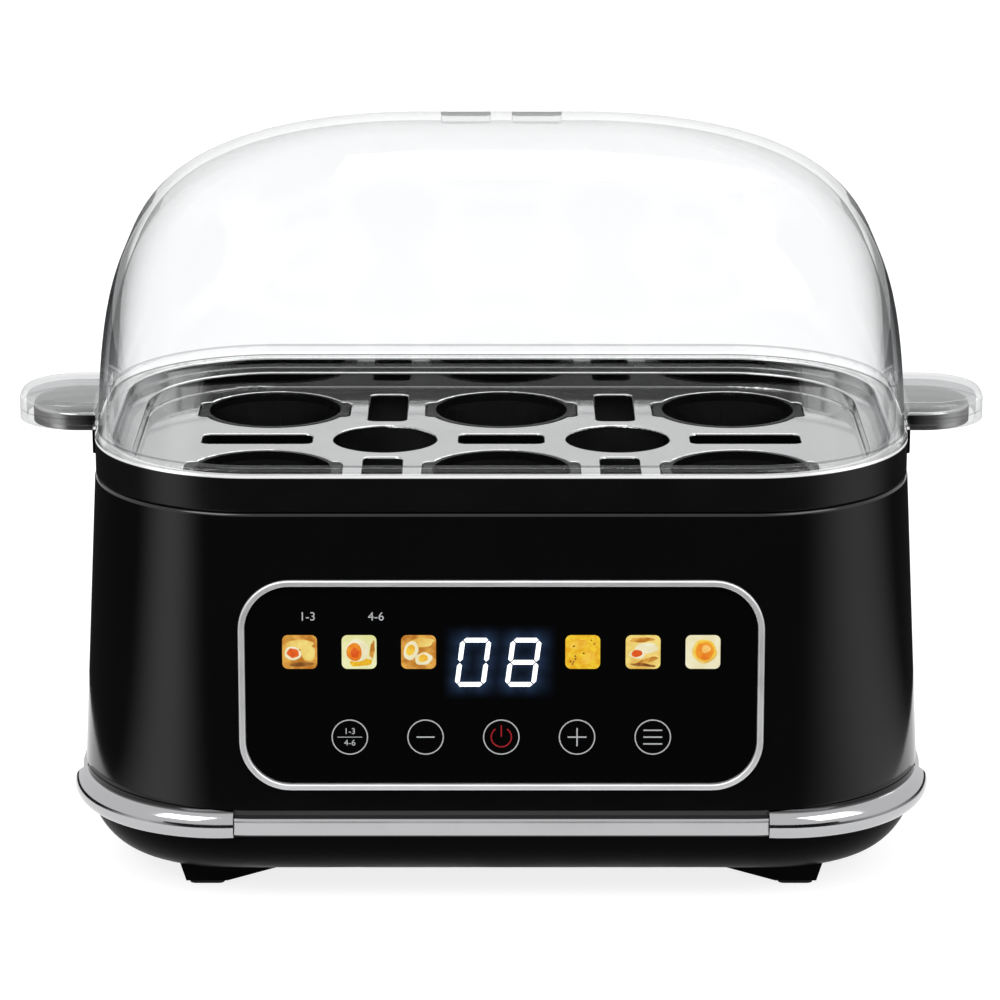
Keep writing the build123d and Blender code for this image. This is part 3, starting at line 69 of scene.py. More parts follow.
def colour(name, description, rgb):
    return FloatVectorProperty(
        name=name, description=description, default=rgb, size=3, min=0.0, max=1.0, subtype="COLOR"
    )


def share(name, description, value):
    return FloatProperty(
        name=name, description=description, default=value, min=0.0, max=1.0, subtype="FACTOR"
    )


class CookerSizes(bpy.types.PropertyGroup):
    """Sizes of the panel's marks"""

    mark_lift: length("Mark lift", "How far the panel's marks stand off the glass", 0.02)
    mark_thickness: length("Mark thickness", "Thickness of the printed marks", 0.03)
    key_radius: length("Key radius", "Radius of a touch key's ring", 4.5)
    key_line: length("Key line", "Width of the rings and symbols", 0.28)
    key_pitch: length("Key pitch", "Distance between two touch keys", 18.68)
    key_drop: length("Key drop", "Height of the keys' row below the panel's middle", 13.2)
    picture_side: length("Picture side", "Side of a lit picture", 8.55)
    picture_corner: length("Picture corner", "Corner radius of a lit picture", 1.4)
    picture_rise: length("Picture rise", "Height of the pictures' row above the panel's middle", 8.5)
    digit_width: length("Digit width", "Width of a digit", 7.6)
    digit_height: length("Digit height", "Height of a digit", 12.4)
    digit_line: length("Digit line", "Width of a digit's segments", 1.18)
    digit_rise: length("Digit rise", "Height of the digits above the panel's middle", 5.9)
    digit_slant: FloatProperty(
        name="Digit slant",
        description="Lean of the digits",
        default=math.radians(7.5),
        subtype="ANGLE",
        unit="ROTATION",
    )
    numeral_height: length("Numeral height", "Height of the small numerals", 2.1)
    numeral_rise: length("Numeral rise", "Height of the numerals above the panel's middle", 17.4)


class CookerColours(bpy.types.PropertyGroup):
    """Colours of the finishes"""

    body: colour("Body", "Gloss black of the body shell", (0.0028, 0.0028, 0.0030))
    collar: colour("Collar", "Satin black of the ring round the body's top", (0.0034, 0.0034, 0.0036))
    base: colour("Base", "Black of the base pan", (0.0045, 0.0045, 0.0046))
    moulding: colour("Moulding", "Black of the cups and hooks", (0.0036, 0.0036, 0.0038))
    rubber: colour("Rubber", "Black of the foot pads", (0.018, 0.018, 0.018))
    glass: colour("Panel glass", "Black of the control panel", (0.0024, 0.0024, 0.0025))
    trim: colour("Trim", "Bright plated strips and bumpers", (0.44, 0.44, 0.45))
    steel: colour("Tray steel", "Polished steel of the egg tray", (0.62, 0.62, 0.615))
    lid: colour("Lid", "Tint of the clear lid", (0.964, 0.967, 0.969))
    marks: colour("Marks", "Pale marks on the panel", (0.60, 0.61, 0.63))
    power: colour("Power mark", "Red mark of the power key", (0.42, 0.012, 0.018))
    digits: colour("Digits", "Lit digits", (0.93, 0.96, 1.0))
    halo: colour("Halo", "Glow round the lit digits", (0.017, 0.034, 0.076))
    floor: colour("Floor", "Pale floor", (0.38, 0.38, 0.38))
    digit_light: share("Digit light", "Brightness of the lit digits", 1.0)


def sizes():
    return bpy.context.scene.cooker_sizes


def colours():
    return bpy.context.scene.cooker_colours


# Materials


class Nodes:
    """The node tree of a material or a world, and short ways to add to it."""

    def __init__(self, owner):
        owner.use_nodes = True
        self.tree = owner.node_tree
        self.tree.nodes.clear()

    def add(self, kind, inputs=None, **settings):
        node = self.tree.nodes.new(kind)
        for key, value in settings.items():
            setattr(node, key, value)
        for key, value in (inputs or {}).items():
            self.feed(value, node.inputs[key])
        return node

    def feed(self, value, target):
        """Joins a socket to the target, or gives the target a number, a vector or a colour."""
        if isinstance(value, bpy.types.NodeSocket):
            self.tree.links.new(value, target)
        elif target.type == "RGBA":
            target.default_value = (*value, 1.0)
        else:
            target.default_value = value

    def calc(self, operation, first, second=0.0):
        return self.add("ShaderNodeMath", {0: first, 1: second}, operation=operation).outputs[0]

    def absolute(self, level):
        return self.calc("ABSOLUTE", level)

    def product(self, first, *more):
        for level in more:
            first = self.calc("MULTIPLY", first, level)
        return first

    def greatest(self, first, *more):
        for level in more:
            first = self.calc("MAXIMUM", first, level)
        return first

    def seen(self):
        """1 for the rays that show the background or its reflection, 0 for the rest."""
        path = self.add("ShaderNodeLightPath")
        names = ("Is Camera Ray", "Is Glossy Ray", "Is Transmission Ray")
        return self.greatest(*(path.outputs[name] for name in names))


class Finish(Nodes):
    """One material with its shader, and short ways to add detail to it."""

    def __init__(self, name, tint, roughness, metallic=0.0, specular=0.5, **more):
        self.material = bpy.data.materials.new(name)
        super().__init__(self.material)
        self.shader = self.add("ShaderNodeBsdfPrincipled")
        self.output = self.add("ShaderNodeOutputMaterial", {"Surface": self.shader.outputs["BSDF"]})
        self.set("Base Color", tint)
        self.set("Roughness", roughness)
        self.set("Metallic", metallic)
        self.set("Specular IOR Level", specular)
        for socket, value in more.items():
            self.set(socket.replace("_", " ").title(), value)
        self.material.diffuse_color = (*tint, 1.0)

    def set(self, socket, value):
        self.feed(value, self.shader.inputs[socket])

    def base_colour(self):
        """What gives the base colour now: the socket joined to it, or else its own colour."""
        base = self.shader.inputs["Base Color"]
        return base.links[0].from_socket if base.is_linked else tuple(base.default_value)[:3]

    # Levels and colours: each of these returns a socket

    def place(self):
        """Object coordinates, in metres."""
        node = self.tree.nodes.get("Place")
        if node is None:
            node = self.add("ShaderNodeTexCoord", name="Place")
        return node.outputs["Object"]

    def parts(self, vector):
        """The X, Y and Z of a vector."""
        node = self.add("ShaderNodeSeparateXYZ", {"Vector": vector})
        return [node.outputs[name] for name in "XYZ"]

    def noise(self, scale, detail=3.0, stretch=(1, 1, 1)):
        spread = self.add("ShaderNodeMapping", {"Vector": self.place(), "Scale": stretch})
        inputs = {"Vector": spread.outputs["Vector"], "Scale": scale, "Detail": detail}
        return self.add("ShaderNodeTexNoise", inputs).outputs["Fac"]

    def specks(self, scale, low, high):
        """White where a cell's middle is near, for grains and specks."""
        cells = self.add("ShaderNodeTexVoronoi", {"Vector": self.place(), "Scale": scale})
        return self.ranged(cells.outputs["Distance"], low, high, 1.0, 0.0)

    def ranged(self, value, low, high, new_low, new_high):
        """A level moved from low and high to new_low and new_high, and held between these."""
        span = {"From Min": low, "From Max": high, "To Min": new_low, "To Max": new_high}
        return self.add("ShaderNodeMapRange", {"Value": value, **span}).outputs["Result"]

    def graded(self, value, low, high, stops):
        """A level that runs through the stops, placed as shares of the way from low to high."""
        node = self.add("ShaderNodeValToRGB", {"Fac": self.ranged(value, low, high, 0.0, 1.0)})
        ramp = node.color_ramp.elements
        ramp[0].position, ramp[1].position = stops[0][0], stops[-1][0]
        for position, _ in stops[1:-1]:
            ramp.new(position)
        for element, (_, level) in zip(ramp, stops):
            element.color = (level, level, level, 1.0)
        return node.outputs["Color"]

    def mixed(self, first, second, factor, blend_type="MIX"):
        """A colour that goes from the first to the second with the factor."""
        inputs = {"A": first, "B": second, "Factor": factor}
        node = self.add("ShaderNodeMix", inputs, data_type="RGBA", blend_type=blend_type)
        return node.outputs["Result"]

    # Details: each of these returns the finish, so that calls can follow one another

    def vary_roughness(self, low, high, scale, stretch=(1, 1, 1)):
        self.set("Roughness", self.ranged(self.noise(scale, 4.0, stretch), 0.3, 0.7, low, high))
        return self

    def vary_colour(self, first, second, scale, detail=3.0, low=0.35, high=0.65, stretch=(1, 1, 1)):
        factor = self.ranged(self.noise(scale, detail, stretch), low, high, 0.0, 1.0)
        self.set("Base Color", self.mixed(first, second, factor))
        return self

    def speckle(self, tint, scale, size):
        """Small specks of another colour over the base colour."""
        specks = self.specks(scale, size * 0.6, size)
        self.set("Base Color", self.mixed(self.base_colour(), tint, specks))
        return self

    def raise_by(self, height, strength, depth):
        """Bumps the surface by a height and a depth in millimetres, over the bumps that it has."""
        inputs = {"Height": height, "Strength": strength, "Distance": depth * MM}
        normal = self.shader.inputs["Normal"]
        if normal.is_linked:
            inputs["Normal"] = normal.links[0].from_socket
        self.set("Normal", self.add("ShaderNodeBump", inputs).outputs["Normal"])
        return self

    def bump(self, scale, strength, depth, detail=3.0, stretch=(1, 1, 1)):
        return self.raise_by(self.noise(scale, detail, stretch), strength, depth)


# Places of shading on the solids, in metres from the frame's origin, and the shades there: the strips'
# bumped roll, and painted shade and painted highlights on the tray and the lid

STRIP_ROLL = (0.0201, 0.0244)
STRIP_PROFILE = ((0.0, 0.94), (0.12, 1.0), (0.76, 1.0), (0.87, 0.74), (1.0, 0.0))
# Depth of the roll in millimetres
STRIP_DEPTH = 0.47

# Painted dark reflection on the tray's long inner walls: where it fades out along them and at their
# top, and the colour that multiplies the steel there
TRAY_WALL_END = (0.078, 0.088)
TRAY_WALL_TOP = (0.1092, 0.1096)
TRAY_WALL_PAINTED_REFLECTION = (0.14, 0.14, 0.14)

# The lid's places and levels for its painted shade and painted highlights, and the colour of the
# painted shade
LID_MIDDLE = (0.0, 0.0, 0.12)
LID_HANDLE = (0.1034, 0.1038)
LID_HANDLE_GLOW = (0.1045, 0.1200)
LID_SLOT = (0.1830, 0.1831)
LID_LEDGE = 0.1132
LID_FOOT = 0.1108
LID_STREAK_SPAN = (0.110, 0.180)
LID_STREAK_HEIGHT = (
    (0.0, 0.55), (0.28, 0.85), (0.57, 1.0), (0.78, 0.8), (0.88, 0.25), (0.96, 0.02), (1.0, 0.0),
)
LID_STREAK = (
    (0.0, 0.0), (0.6, 0.04), (0.70, 0.10), (0.76, 0.3),
    (0.80, 0.9), (0.96, 0.9), (0.985, 0.15), (1.0, 0.1),
)
LID_SOFT = ((0.0, 0.0), (0.5, 0.02), (0.8, 0.15), (1.0, 0.2))
LID_RIM = ((0.0, 0.0), (0.6, 0.04), (0.82, 0.42), (1.0, 0.5))
LID_PAINTED_SHADE = (0.25, 0.255, 0.26)


def outer_face(finish, lie):
    """1 where a face looks away from the middle of the lid and the tray, and 0 where it looks in."""
    out = finish.add("ShaderNodeVectorMath", {0: finish.place(), 1: LID_MIDDLE}, operation="SUBTRACT")
    inputs = {0: out.outputs["Vector"], 1: lie.outputs["Normal"]}
    along = finish.add("ShaderNodeVectorMath", inputs, operation="DOT_PRODUCT").outputs["Value"]
    turn = finish.ranged(lie.outputs["Backfacing"], 0.0, 1.0, 1.0, -1.0)
    return finish.calc("GREATER_THAN", finish.product(along, turn), 0.0)


def level_line(finish, height, middle, half_width):
    """1 in a thin level line at a height in metres, with its half width in millimetres."""
    away = finish.absolute(finish.calc("SUBTRACT", height, middle))
    return finish.ranged(away, half_width * 0.6 * MM, half_width * 1.2 * MM, 1.0, 0.0)


def gloss_black():
    finish = Finish("Gloss black shell", colours().body, 0.12, specular=0.5)
    return finish.vary_roughness(0.09, 0.14, 45).bump(900, 0.05, 0.02, 1.0)


def collar_black():
    finish = Finish("Satin black collar", colours().collar, 0.24, specular=0.45)
    return finish.vary_roughness(0.20, 0.28, 60).bump(2600, 0.12, 0.02)


def base_black():
    finish = Finish("Black base", colours().base, 0.40, specular=0.012)
    return finish.vary_roughness(0.28, 0.42, 55).bump(2200, 0.2, 0.03)


def black_plastic():
    finish = Finish("Black moulding", colours().moulding, 0.26, specular=0.05)
    return finish.vary_roughness(0.22, 0.30, 70).bump(1500, 0.06, 0.02)


def panel_black():
    finish = Finish("Black glass", colours().glass, 0.06, specular=0.06)
    return finish.vary_roughness(0.05, 0.09, 30)


def bright_trim():
    finish = Finish("Bright plating", colours().trim, 0.1, metallic=1.0)
    return finish.vary_roughness(0.07, 0.14, 80).bump(700, 0.04, 0.02, 1.0)


def strip_trim():
    """Plating with the strips' rolled upper edge."""
    finish = bright_trim()
    finish.material.name = "Rolled bright plating"
    height = finish.parts(finish.place())[2]
    return finish.raise_by(finish.graded(height, *STRIP_ROLL, STRIP_PROFILE), 1.0, STRIP_DEPTH)


def polished_steel():
    """Polished steel, with a painted dark reflection on the tray's long inner walls, standing in for
    their reflection of the cups.
    """
    tint = colours().steel
    finish = Finish("Polished steel", tint, 0.16, metallic=1.0)
    finish.vary_colour(tuple(c * 0.94 for c in tint), tint, 40)
    lie = finish.add("ShaderNodeNewGeometry")
    across, _, height = finish.parts(finish.place())
    rise = finish.absolute(finish.parts(lie.outputs["Normal"])[2])
    wall = finish.ranged(rise, 0.45, 0.7, 1.0, 0.0)
    inner = finish.calc("SUBTRACT", 1.0, outer_face(finish, lie))
    along = finish.ranged(finish.absolute(across), *TRAY_WALL_END, 1.0, 0.0)
    below = finish.ranged(height, *TRAY_WALL_TOP, 1.0, 0.0)
    # Painted dark reflection: the steel's colour is multiplied down on the long inner walls
    shade = finish.product(wall, inner, along, below)
    finish.set("Base Color", finish.mixed(finish.base_colour(), TRAY_WALL_PAINTED_REFLECTION, shade, "MULTIPLY"))
    return finish.vary_roughness(0.06, 0.11, 120, (1, 6, 1)).bump(260, 0.035, 0.03, 2.0)


def satin_plating():
    finish = Finish("Satin plating", (0.78, 0.78, 0.79), 0.55, metallic=1.0)
    return finish.vary_roughness(0.50, 0.58, 120).bump(1600, 0.06, 0.02)


def plain_steel():
    finish = Finish("Plain steel", (0.52, 0.52, 0.53), 0.34, metallic=1.0)
    finish.vary_colour((0.45, 0.45, 0.46), (0.56, 0.56, 0.57), 90)
    return finish.vary_roughness(0.26, 0.42, 160, (1, 1, 5)).bump(1200, 0.1, 0.02)


def cast_metal():
    finish = Finish("Cast aluminium", (0.48, 0.48, 0.47), 0.5, metallic=1.0)
    finish.vary_colour((0.40, 0.40, 0.39), (0.54, 0.54, 0.53), 140)
    return finish.vary_roughness(0.42, 0.6, 200).bump(1800, 0.35, 0.06)


def bowl_coating():
    finish = Finish("Dark bowl coating", (0.007, 0.007, 0.007), 0.4, specular=0.15)
    finish.vary_colour((0.005, 0.005, 0.005), (0.009, 0.009, 0.009), 120)
    return finish.speckle((0.03, 0.03, 0.031), 1400, 0.16).vary_roughness(0.34, 0.46, 150)


def foot_rubber():
    finish = Finish("Foot rubber", colours().rubber, 0.8, specular=0.3)
    return finish.vary_roughness(0.7, 0.9, 200).bump(2400, 0.4, 0.05)


def seal_silicone():
    finish = Finish("Silicone seal", (0.42, 0.42, 0.41), 0.5, specular=0.4, subsurface_weight=0.1)
    finish.vary_colour((0.38, 0.38, 0.37), (0.46, 0.46, 0.45), 100)
    return finish.vary_roughness(0.42, 0.56, 180).bump(1400, 0.15, 0.03)


def board_green():
    finish = Finish("Circuit board", (0.012, 0.075, 0.032), 0.35, specular=0.5)
    finish.vary_colour((0.010, 0.060, 0.026), (0.016, 0.105, 0.046), 260, 1.0, 0.48, 0.52, (1, 3, 3))
    return finish.speckle((0.45, 0.40, 0.22), 520, 0.16).bump(260, 0.2, 0.03, 1.0, (1, 3, 3))


def part_plastic():
    finish = Finish("Inner moulding", (0.022, 0.022, 0.024), 0.42, specular=0.4)
    finish.vary_colour((0.018, 0.018, 0.020), (0.027, 0.027, 0.029), 80)
    return finish.vary_roughness(0.36, 0.5, 120).bump(1700, 0.2, 0.03)


def guide_white():
    finish = Finish("Light guide", (0.74, 0.74, 0.72), 0.38, specular=0.4, subsurface_weight=0.15)
    finish.vary_colour((0.70, 0.70, 0.68), (0.78, 0.78, 0.76), 90)
    return finish.bump(1500, 0.1, 0.02)


def transformer_yellow():
    finish = Finish("Transformer tape", (0.62, 0.42, 0.05), 0.42, specular=0.45)
    finish.vary_colour((0.55, 0.36, 0.04), (0.68, 0.47, 0.07), 110, 2.0, 0.4, 0.6, (1, 1, 9))
    return finish.vary_roughness(0.34, 0.5, 160).bump(500, 0.25, 0.05, 2.0, (1, 1, 9))


def relay_blue():
    finish = Finish("Relay case", (0.02, 0.07, 0.32), 0.3, specular=0.5)
    finish.vary_colour((0.017, 0.06, 0.28), (0.024, 0.08, 0.36), 100)
    return finish.vary_roughness(0.24, 0.36, 150).bump(1500, 0.1, 0.02)


def cable_grey():
    finish = Finish("Ribbon cable", (0.30, 0.30, 0.31), 0.5, specular=0.4)
    finish.vary_colour((0.22, 0.22, 0.23), (0.36, 0.36, 0.37), 90, 1.0, 0.45, 0.55, (9, 0.2, 0.2))
    return finish.bump(90, 0.4, 0.1, 1.0, (9, 0.2, 0.2))


def lead_red():
    finish = Finish("Red lead", (0.38, 0.015, 0.012), 0.45, specular=0.45)
    finish.vary_colour((0.32, 0.012, 0.010), (0.44, 0.018, 0.015), 150)
    return finish.vary_roughness(0.38, 0.52, 200).bump(1600, 0.15, 0.02)


def inlet_rubber():
    finish = Finish("Inlet rubber", (0.02, 0.02, 0.02), 0.6, specular=0.35)
    return finish.vary_roughness(0.52, 0.7, 160).bump(2000, 0.3, 0.04)


def clear_plastic():
    """Clear moulding: light passes straight through it, and it shines more edge on; painted shade
    darkens its tint edge on and on its slots, ledge and handles, and a painted white glow lights its
    foot and handles.
    """
    finish = Finish("Clear lid", WHITE, 0.03, metallic=1.0)
    finish.vary_roughness(0.02, 0.05, 25)
    facing = finish.add("ShaderNodeLayerWeight").outputs["Facing"]
    lie = finish.add("ShaderNodeNewGeometry")
    across, _, height = finish.parts(finish.place())
    rise = finish.absolute(finish.parts(lie.outputs["Normal"])[2])
    wall = finish.ranged(rise, 0.35, 0.7, 1.0, 0.0)
    reach = finish.absolute(across)
    handle = finish.ranged(reach, *LID_HANDLE, 0.0, 1.0)
    dome = finish.calc("SUBTRACT", 1.0, handle)
    outer = outer_face(finish, lie)

    # Painted shade in the tint that light passes through, standing in for refraction: on the dome's
    # sides, the slots, the ledge and the handles
    streak_height = finish.graded(height, *LID_STREAK_SPAN, LID_STREAK_HEIGHT)
    streak = finish.product(finish.graded(facing, 0.0, 1.0, LID_STREAK), streak_height, outer)
    soft = finish.graded(facing, 0.0, 1.0, LID_SOFT)
    upright = finish.ranged(rise, 0.25, 0.85, 1.0, 0.15)
    sides = finish.product(finish.calc("ADD", streak, soft), upright, dome)
    slots = finish.product(finish.ranged(height, *LID_SLOT, 0.0, 1.0), wall)
    ledge = finish.product(level_line(finish, height, LID_LEDGE, 0.3), 0.5, outer)
    rim = finish.graded(facing, 0.0, 1.0, LID_RIM)
    grip = finish.product(handle, finish.greatest(finish.product(wall, 0.22), rim))
    shade = finish.greatest(sides, slots, ledge, grip)
    tint = finish.mixed(colours().lid, LID_PAINTED_SHADE, shade)
    clear = finish.add("ShaderNodeBsdfTransparent", {"Color": tint})

    # Painted highlights, given as a white glow: the line at the dome's foot and a faint glow over the
    # handles' walls
    foot = finish.product(level_line(finish, height, LID_FOOT, 0.4), outer, dome)
    handle_glow = finish.product(wall, finish.ranged(reach, *LID_HANDLE_GLOW, 0.0, 0.08))
    painted_glow = finish.greatest(finish.product(foot, 0.9), handle_glow)
    finish.set("Emission Color", WHITE)
    finish.set("Emission Strength", finish.ranged(painted_glow, 0.0, 0.04, 0.0, 0.85))
    bounce = finish.ranged(finish.calc("POWER", facing, 5.0), 0.0, 1.0, 0.03, 0.5)
    shaders = {1: clear.outputs[0], 2: finish.shader.outputs["BSDF"]}
    both = finish.add("ShaderNodeMixShader", {"Fac": finish.greatest(bounce, painted_glow), **shaders})
    finish.feed(both.outputs[0], finish.output.inputs["Surface"])
    return finish


NODE_FINISHES = {
    "panel_bezel": satin_plating,
    **{f"trim_strip_{side}": strip_trim for side in ("front", "rear", "left", "right")},
}

# The finish of each material slot is the function with the slot's name
FINISHES = {
    make.__name__: make
    for make in (
        clear_plastic, polished_steel, plain_steel, cast_metal, bright_trim, black_plastic,
        collar_black, gloss_black, base_black, panel_black, bowl_coating, foot_rubber, seal_silicone,
        inlet_rubber, board_green, part_plastic, guide_white, transformer_yellow, relay_blue,
        cable_grey, lead_red,
    )
}


# Flat shapes on the panel: each is (points, faces) in the panel's plane, in metres


def strip_between(outer, inner, closed=True):
    """A band of quads between two lines with the same number of points."""
    count = len(outer)
    faces = []
    for i in range(count if closed else count - 1):
        j = (i + 1) % count
        faces.append((i, j, count + j, count + i))
    return outer + inner, faces


def circle(x, z, radius, steps, start=0.0, turn=2 * math.pi):
    angles = [start + turn * i / steps for i in range(steps)]
    return [(x + radius * math.cos(a), z + radius * math.sin(a)) for a in angles]


def ring(x, z, radius, width, steps=96):
    return strip_between(circle(x, z, radius, steps), circle(x, z, radius - width, steps))


def arc(x, z, radius, width, start, turn, steps=48):
    span = turn * steps / (steps - 1)
    outer = circle(x, z, radius, steps, start, span)
    inner = circle(x, z, radius - width, steps, start, span)
    return strip_between(outer, inner, closed=False)


def bar(x0, z0, x1, z1, width, steps=10):
    """A straight stroke with round ends."""
    angle = math.atan2(z1 - z0, x1 - x0)
    half = width / 2
    points = []
    for x, z, start in ((x1, z1, angle - math.pi / 2), (x0, z0, angle + math.pi / 2)):
        for i in range(steps + 1):
            a = start + math.pi * i / steps
            points.append((x + half * math.cos(a), z + half * math.sin(a)))
    return points, [tuple(range(len(points)))]


def rounded_square(x, z, side, corner, steps=8):
    points = []
    reach = side / 2 - corner
    for i, (sx, sz) in enumerate(((1, 1), (-1, 1), (-1, -1), (1, -1))):
        middle_x, middle_z = x + sx * reach, z + sz * reach
        for k in range(steps + 1):
            a = math.pi / 2 * (i + k / steps)
            points.append((middle_x + corner * math.cos(a), middle_z + corner * math.sin(a)))
    return points, [tuple(range(len(points)))]


def blob(x, z, half_width, half_height, tilt, wobble, seed, steps=40):
    """A soft oval, uneven by wobble, as food on a plate is."""
    chance = random.Random(seed)
    waves = [(k, chance.uniform(-1, 1), chance.uniform(0, 2 * math.pi)) for k in (2, 3, 5)]
    cos, sin = math.cos(tilt), math.sin(tilt)
    points = []
    for i in range(steps):
        a = 2 * math.pi * i / steps
        r = 1 + wobble * sum(h * math.cos(k * a + p) for k, h, p in waves) / 2
        u, v = half_width * r * math.cos(a), half_height * r * math.sin(a)
        points.append((x + u * cos - v * sin, z + u * sin + v * cos))
    return points, [tuple(range(steps))]


def together(shapes):
    points, faces = [], []
    for more, links in shapes:
        faces += [tuple(len(points) + i for i in link) for link in links]
        points += more
    return points, faces


# The panel's plane, read from the glass itself

# How far a face's normal has to look forwards to be one of the glass's front
FRONT_LEAN = 0.95


def panel_plane():
    """Matrix to the frame from the panel's plane: x along it, y up it and z out of it."""
    mesh = NODES["control_glass"].data
    front = Vector((0.0, 0.0, 0.0))
    for face in mesh.polygons:
        if face.normal.y < -FRONT_LEAN:
            front += face.normal * face.area
    out = Vector((0.0, front.y, front.z)).normalized()
    low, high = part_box("control_glass")
    level = max(out.dot(v.co) for v in mesh.vertices)
    middle_z = (low.z + high.z) / 2
    middle = Vector((0.0, (level - out.z * middle_z) / out.y, middle_z))
    along = Vector((1.0, 0.0, 0.0))
    up = out.cross(along)
    plane = Matrix((along, up, out)).transposed().to_4x4()
    plane.translation = middle
    return plane


def panel_mesh(name, shape, lift=0.0):
    """A thin printed mark on the glass."""
    points, faces = shape
    thickness = sizes().mark_thickness
    base = sizes().mark_lift + lift
    plane = panel_plane()
    mesh = bpy.data.meshes.new(name)
    bm = bmesh.new()
    corners = [bm.verts.new((x, z, base)) for x, z in points]
    drawn = [bm.faces.new([corners[i] for i in face]) for face in faces]
    bmesh.ops.recalc_face_normals(bm, faces=drawn)
    if drawn[0].normal.z < 0:
        bmesh.ops.reverse_faces(bm, faces=drawn)
    grown = bmesh.ops.extrude_face_region(bm, geom=drawn)
    tops = [g for g in grown["geom"] if isinstance(g, bmesh.types.BMVert)]
    for vert in tops:
        vert.co.z += thickness
    bmesh.ops.recalc_face_normals(bm, faces=bm.faces)
    bm.transform(plane)
    bm.to_mesh(mesh)
    bm.free()
    return bpy.data.objects.new(name, mesh)


def put_on(obj, finish):
    """Shows a new piece, gives it its finish and lets it ride on the body."""
    bpy.context.scene.collection.objects.link(obj)
    obj.data.materials.clear()
    obj.data.materials.append(finish.material)
    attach(obj, "body")


def print_mark(name, shape, finish, lift=0.0):
    """Lays a flat shape on the panel as a thin mark."""
    put_on(panel_mesh(name, shape, lift), finish)


def printed(name, tint):
    """The finish of a printed mark."""
    return Finish(name, tint, 0.4, specular=0.3).vary_roughness(0.34, 0.46, 300)


# Height of the font's figures as a share of its size
FIGURE_SHARE = 0.69


def numeral_shape(text, x, z, height):
    """Plain numerals as a flat shape."""
    curve = bpy.data.curves.new("numerals", type="FONT")
    curve.body = text
    curve.align_x = "CENTER"
    curve.align_y = "CENTER"
    curve.size = height / FIGURE_SHARE
    curve.resolution_u = 6
    holder = bpy.data.objects.new("numerals", curve)
    bpy.context.scene.collection.objects.link(holder)
    bpy.context.view_layer.update()
    depsgraph = bpy.context.evaluated_depsgraph_get()
    flat = bpy.data.meshes.new_from_object(holder.evaluated_get(depsgraph))
    points = [(x + v.co.x, z + v.co.y) for v in flat.vertices]
    faces = [tuple(face.vertices) for face in flat.polygons]
    bpy.data.objects.remove(holder)
    bpy.data.curves.remove(curve)
    bpy.data.meshes.remove(flat)
    return points, faces


# Operators


class COOKER_OT_finish_nodes(bpy.types.Operator):
    """Give every solid of the frame the finish of its material slot"""

    bl_idname = "cooker.finish_nodes"
    bl_label = "Finish the solids"

    def execute(self, context):
        made = {}
        for part in frame["record"]["subparts"]:
            make = NODE_FINISHES.get(part["node"], FINISHES[part["material_slot"]])
            if make not in made:
                made[make] = make().material
            node = NODES[part["node"]]
            node.data.materials.clear()
            node.data.materials.append(made[make])
        return {"FINISHED"}


class COOKER_OT_key_marks(bpy.types.Operator):
    """Draw the five touch keys: rings and plain symbols"""

    bl_idname = "cooker.key_marks"
    bl_label = "Key marks"

    # Shares of the key line and, for the lift, of the marks' thickness
    STROKE = 1.15
    RULE = 0.6
    UPRIGHT_LIFT = 0.1
    MINUS_REACH = 2.1 * MM
    SIGN_REACH = 2.2 * MM
    MENU_STEP = 1.75 * MM
    COUNT_HEIGHT = 1.5 * MM
    COUNT_RISE = 1.45 * MM
    COUNT_DROP = 1.5 * MM
    COUNT_REACH = 3.0 * MM
    POWER_RADIUS = 2.65 * MM
    POWER_STEM = (0.2 * MM, 2.9 * MM)
    POWER_GAP = math.radians(34)

    def execute(self, context):
        size = sizes()
        pale = printed("Pale print", colours().marks)
        red = printed("Red print", colours().power)
        z, pitch, line = -size.key_drop, size.key_pitch, size.key_line
        stroke = line * self.STROKE
        rings = [ring(i * pitch, z, size.key_radius, line) for i in range(-2, 3)]
        print_mark("key_rings", together(rings), pale)

        reach = self.MINUS_REACH
        print_mark("minus_mark", bar(-pitch - reach, z, -pitch + reach, z, stroke), pale)
        reach = self.SIGN_REACH
        print_mark("plus_mark", bar(pitch - reach, z, pitch + reach, z, stroke), pale)
        upright = bar(pitch, z - reach, pitch, z + reach, stroke)
        print_mark("plus_upright", upright, pale, size.mark_thickness * self.UPRIGHT_LIFT)
        rows = [z + k * self.MENU_STEP for k in (-1, 0, 1)]
        menu = [bar(2 * pitch - reach, row, 2 * pitch + reach, row, stroke) for row in rows]
        print_mark("menu_mark", together(menu), pale)

        x, reach = -2 * pitch, self.COUNT_REACH
        count = [
            numeral_shape("1-3", x, z + self.COUNT_RISE, self.COUNT_HEIGHT),
            bar(x - reach, z, x + reach, z, line * self.RULE),
            numeral_shape("4-6", x, z - self.COUNT_DROP, self.COUNT_HEIGHT),
        ]
        print_mark("count_key_mark", together(count), pale)
        gap, (foot, top) = self.POWER_GAP, self.POWER_STEM
        power = [
            arc(0, z, self.POWER_RADIUS, stroke, math.pi / 2 + gap, 2 * math.pi - 2 * gap),
            bar(0, z + foot, 0, z + top, stroke),
        ]
        print_mark("power_mark", together(power), red)
        return {"FINISHED"}


class COOKER_OT_numerals(bpy.types.Operator):
    """Print the small egg counts above the lit pictures"""

    bl_idname = "cooker.numerals"
    bl_label = "Numerals"

    PLACES = {"1-3": -47.5 * MM, "4-6": -30.7 * MM}

    def execute(self, context):
        rise, height = sizes().numeral_rise, sizes().numeral_height
        shapes = [numeral_shape(text, x, rise, height) for text, x in self.PLACES.items()]
        print_mark("egg_counts", together(shapes), printed("Pale numerals", colours().marks))
        return {"FINISHED"}


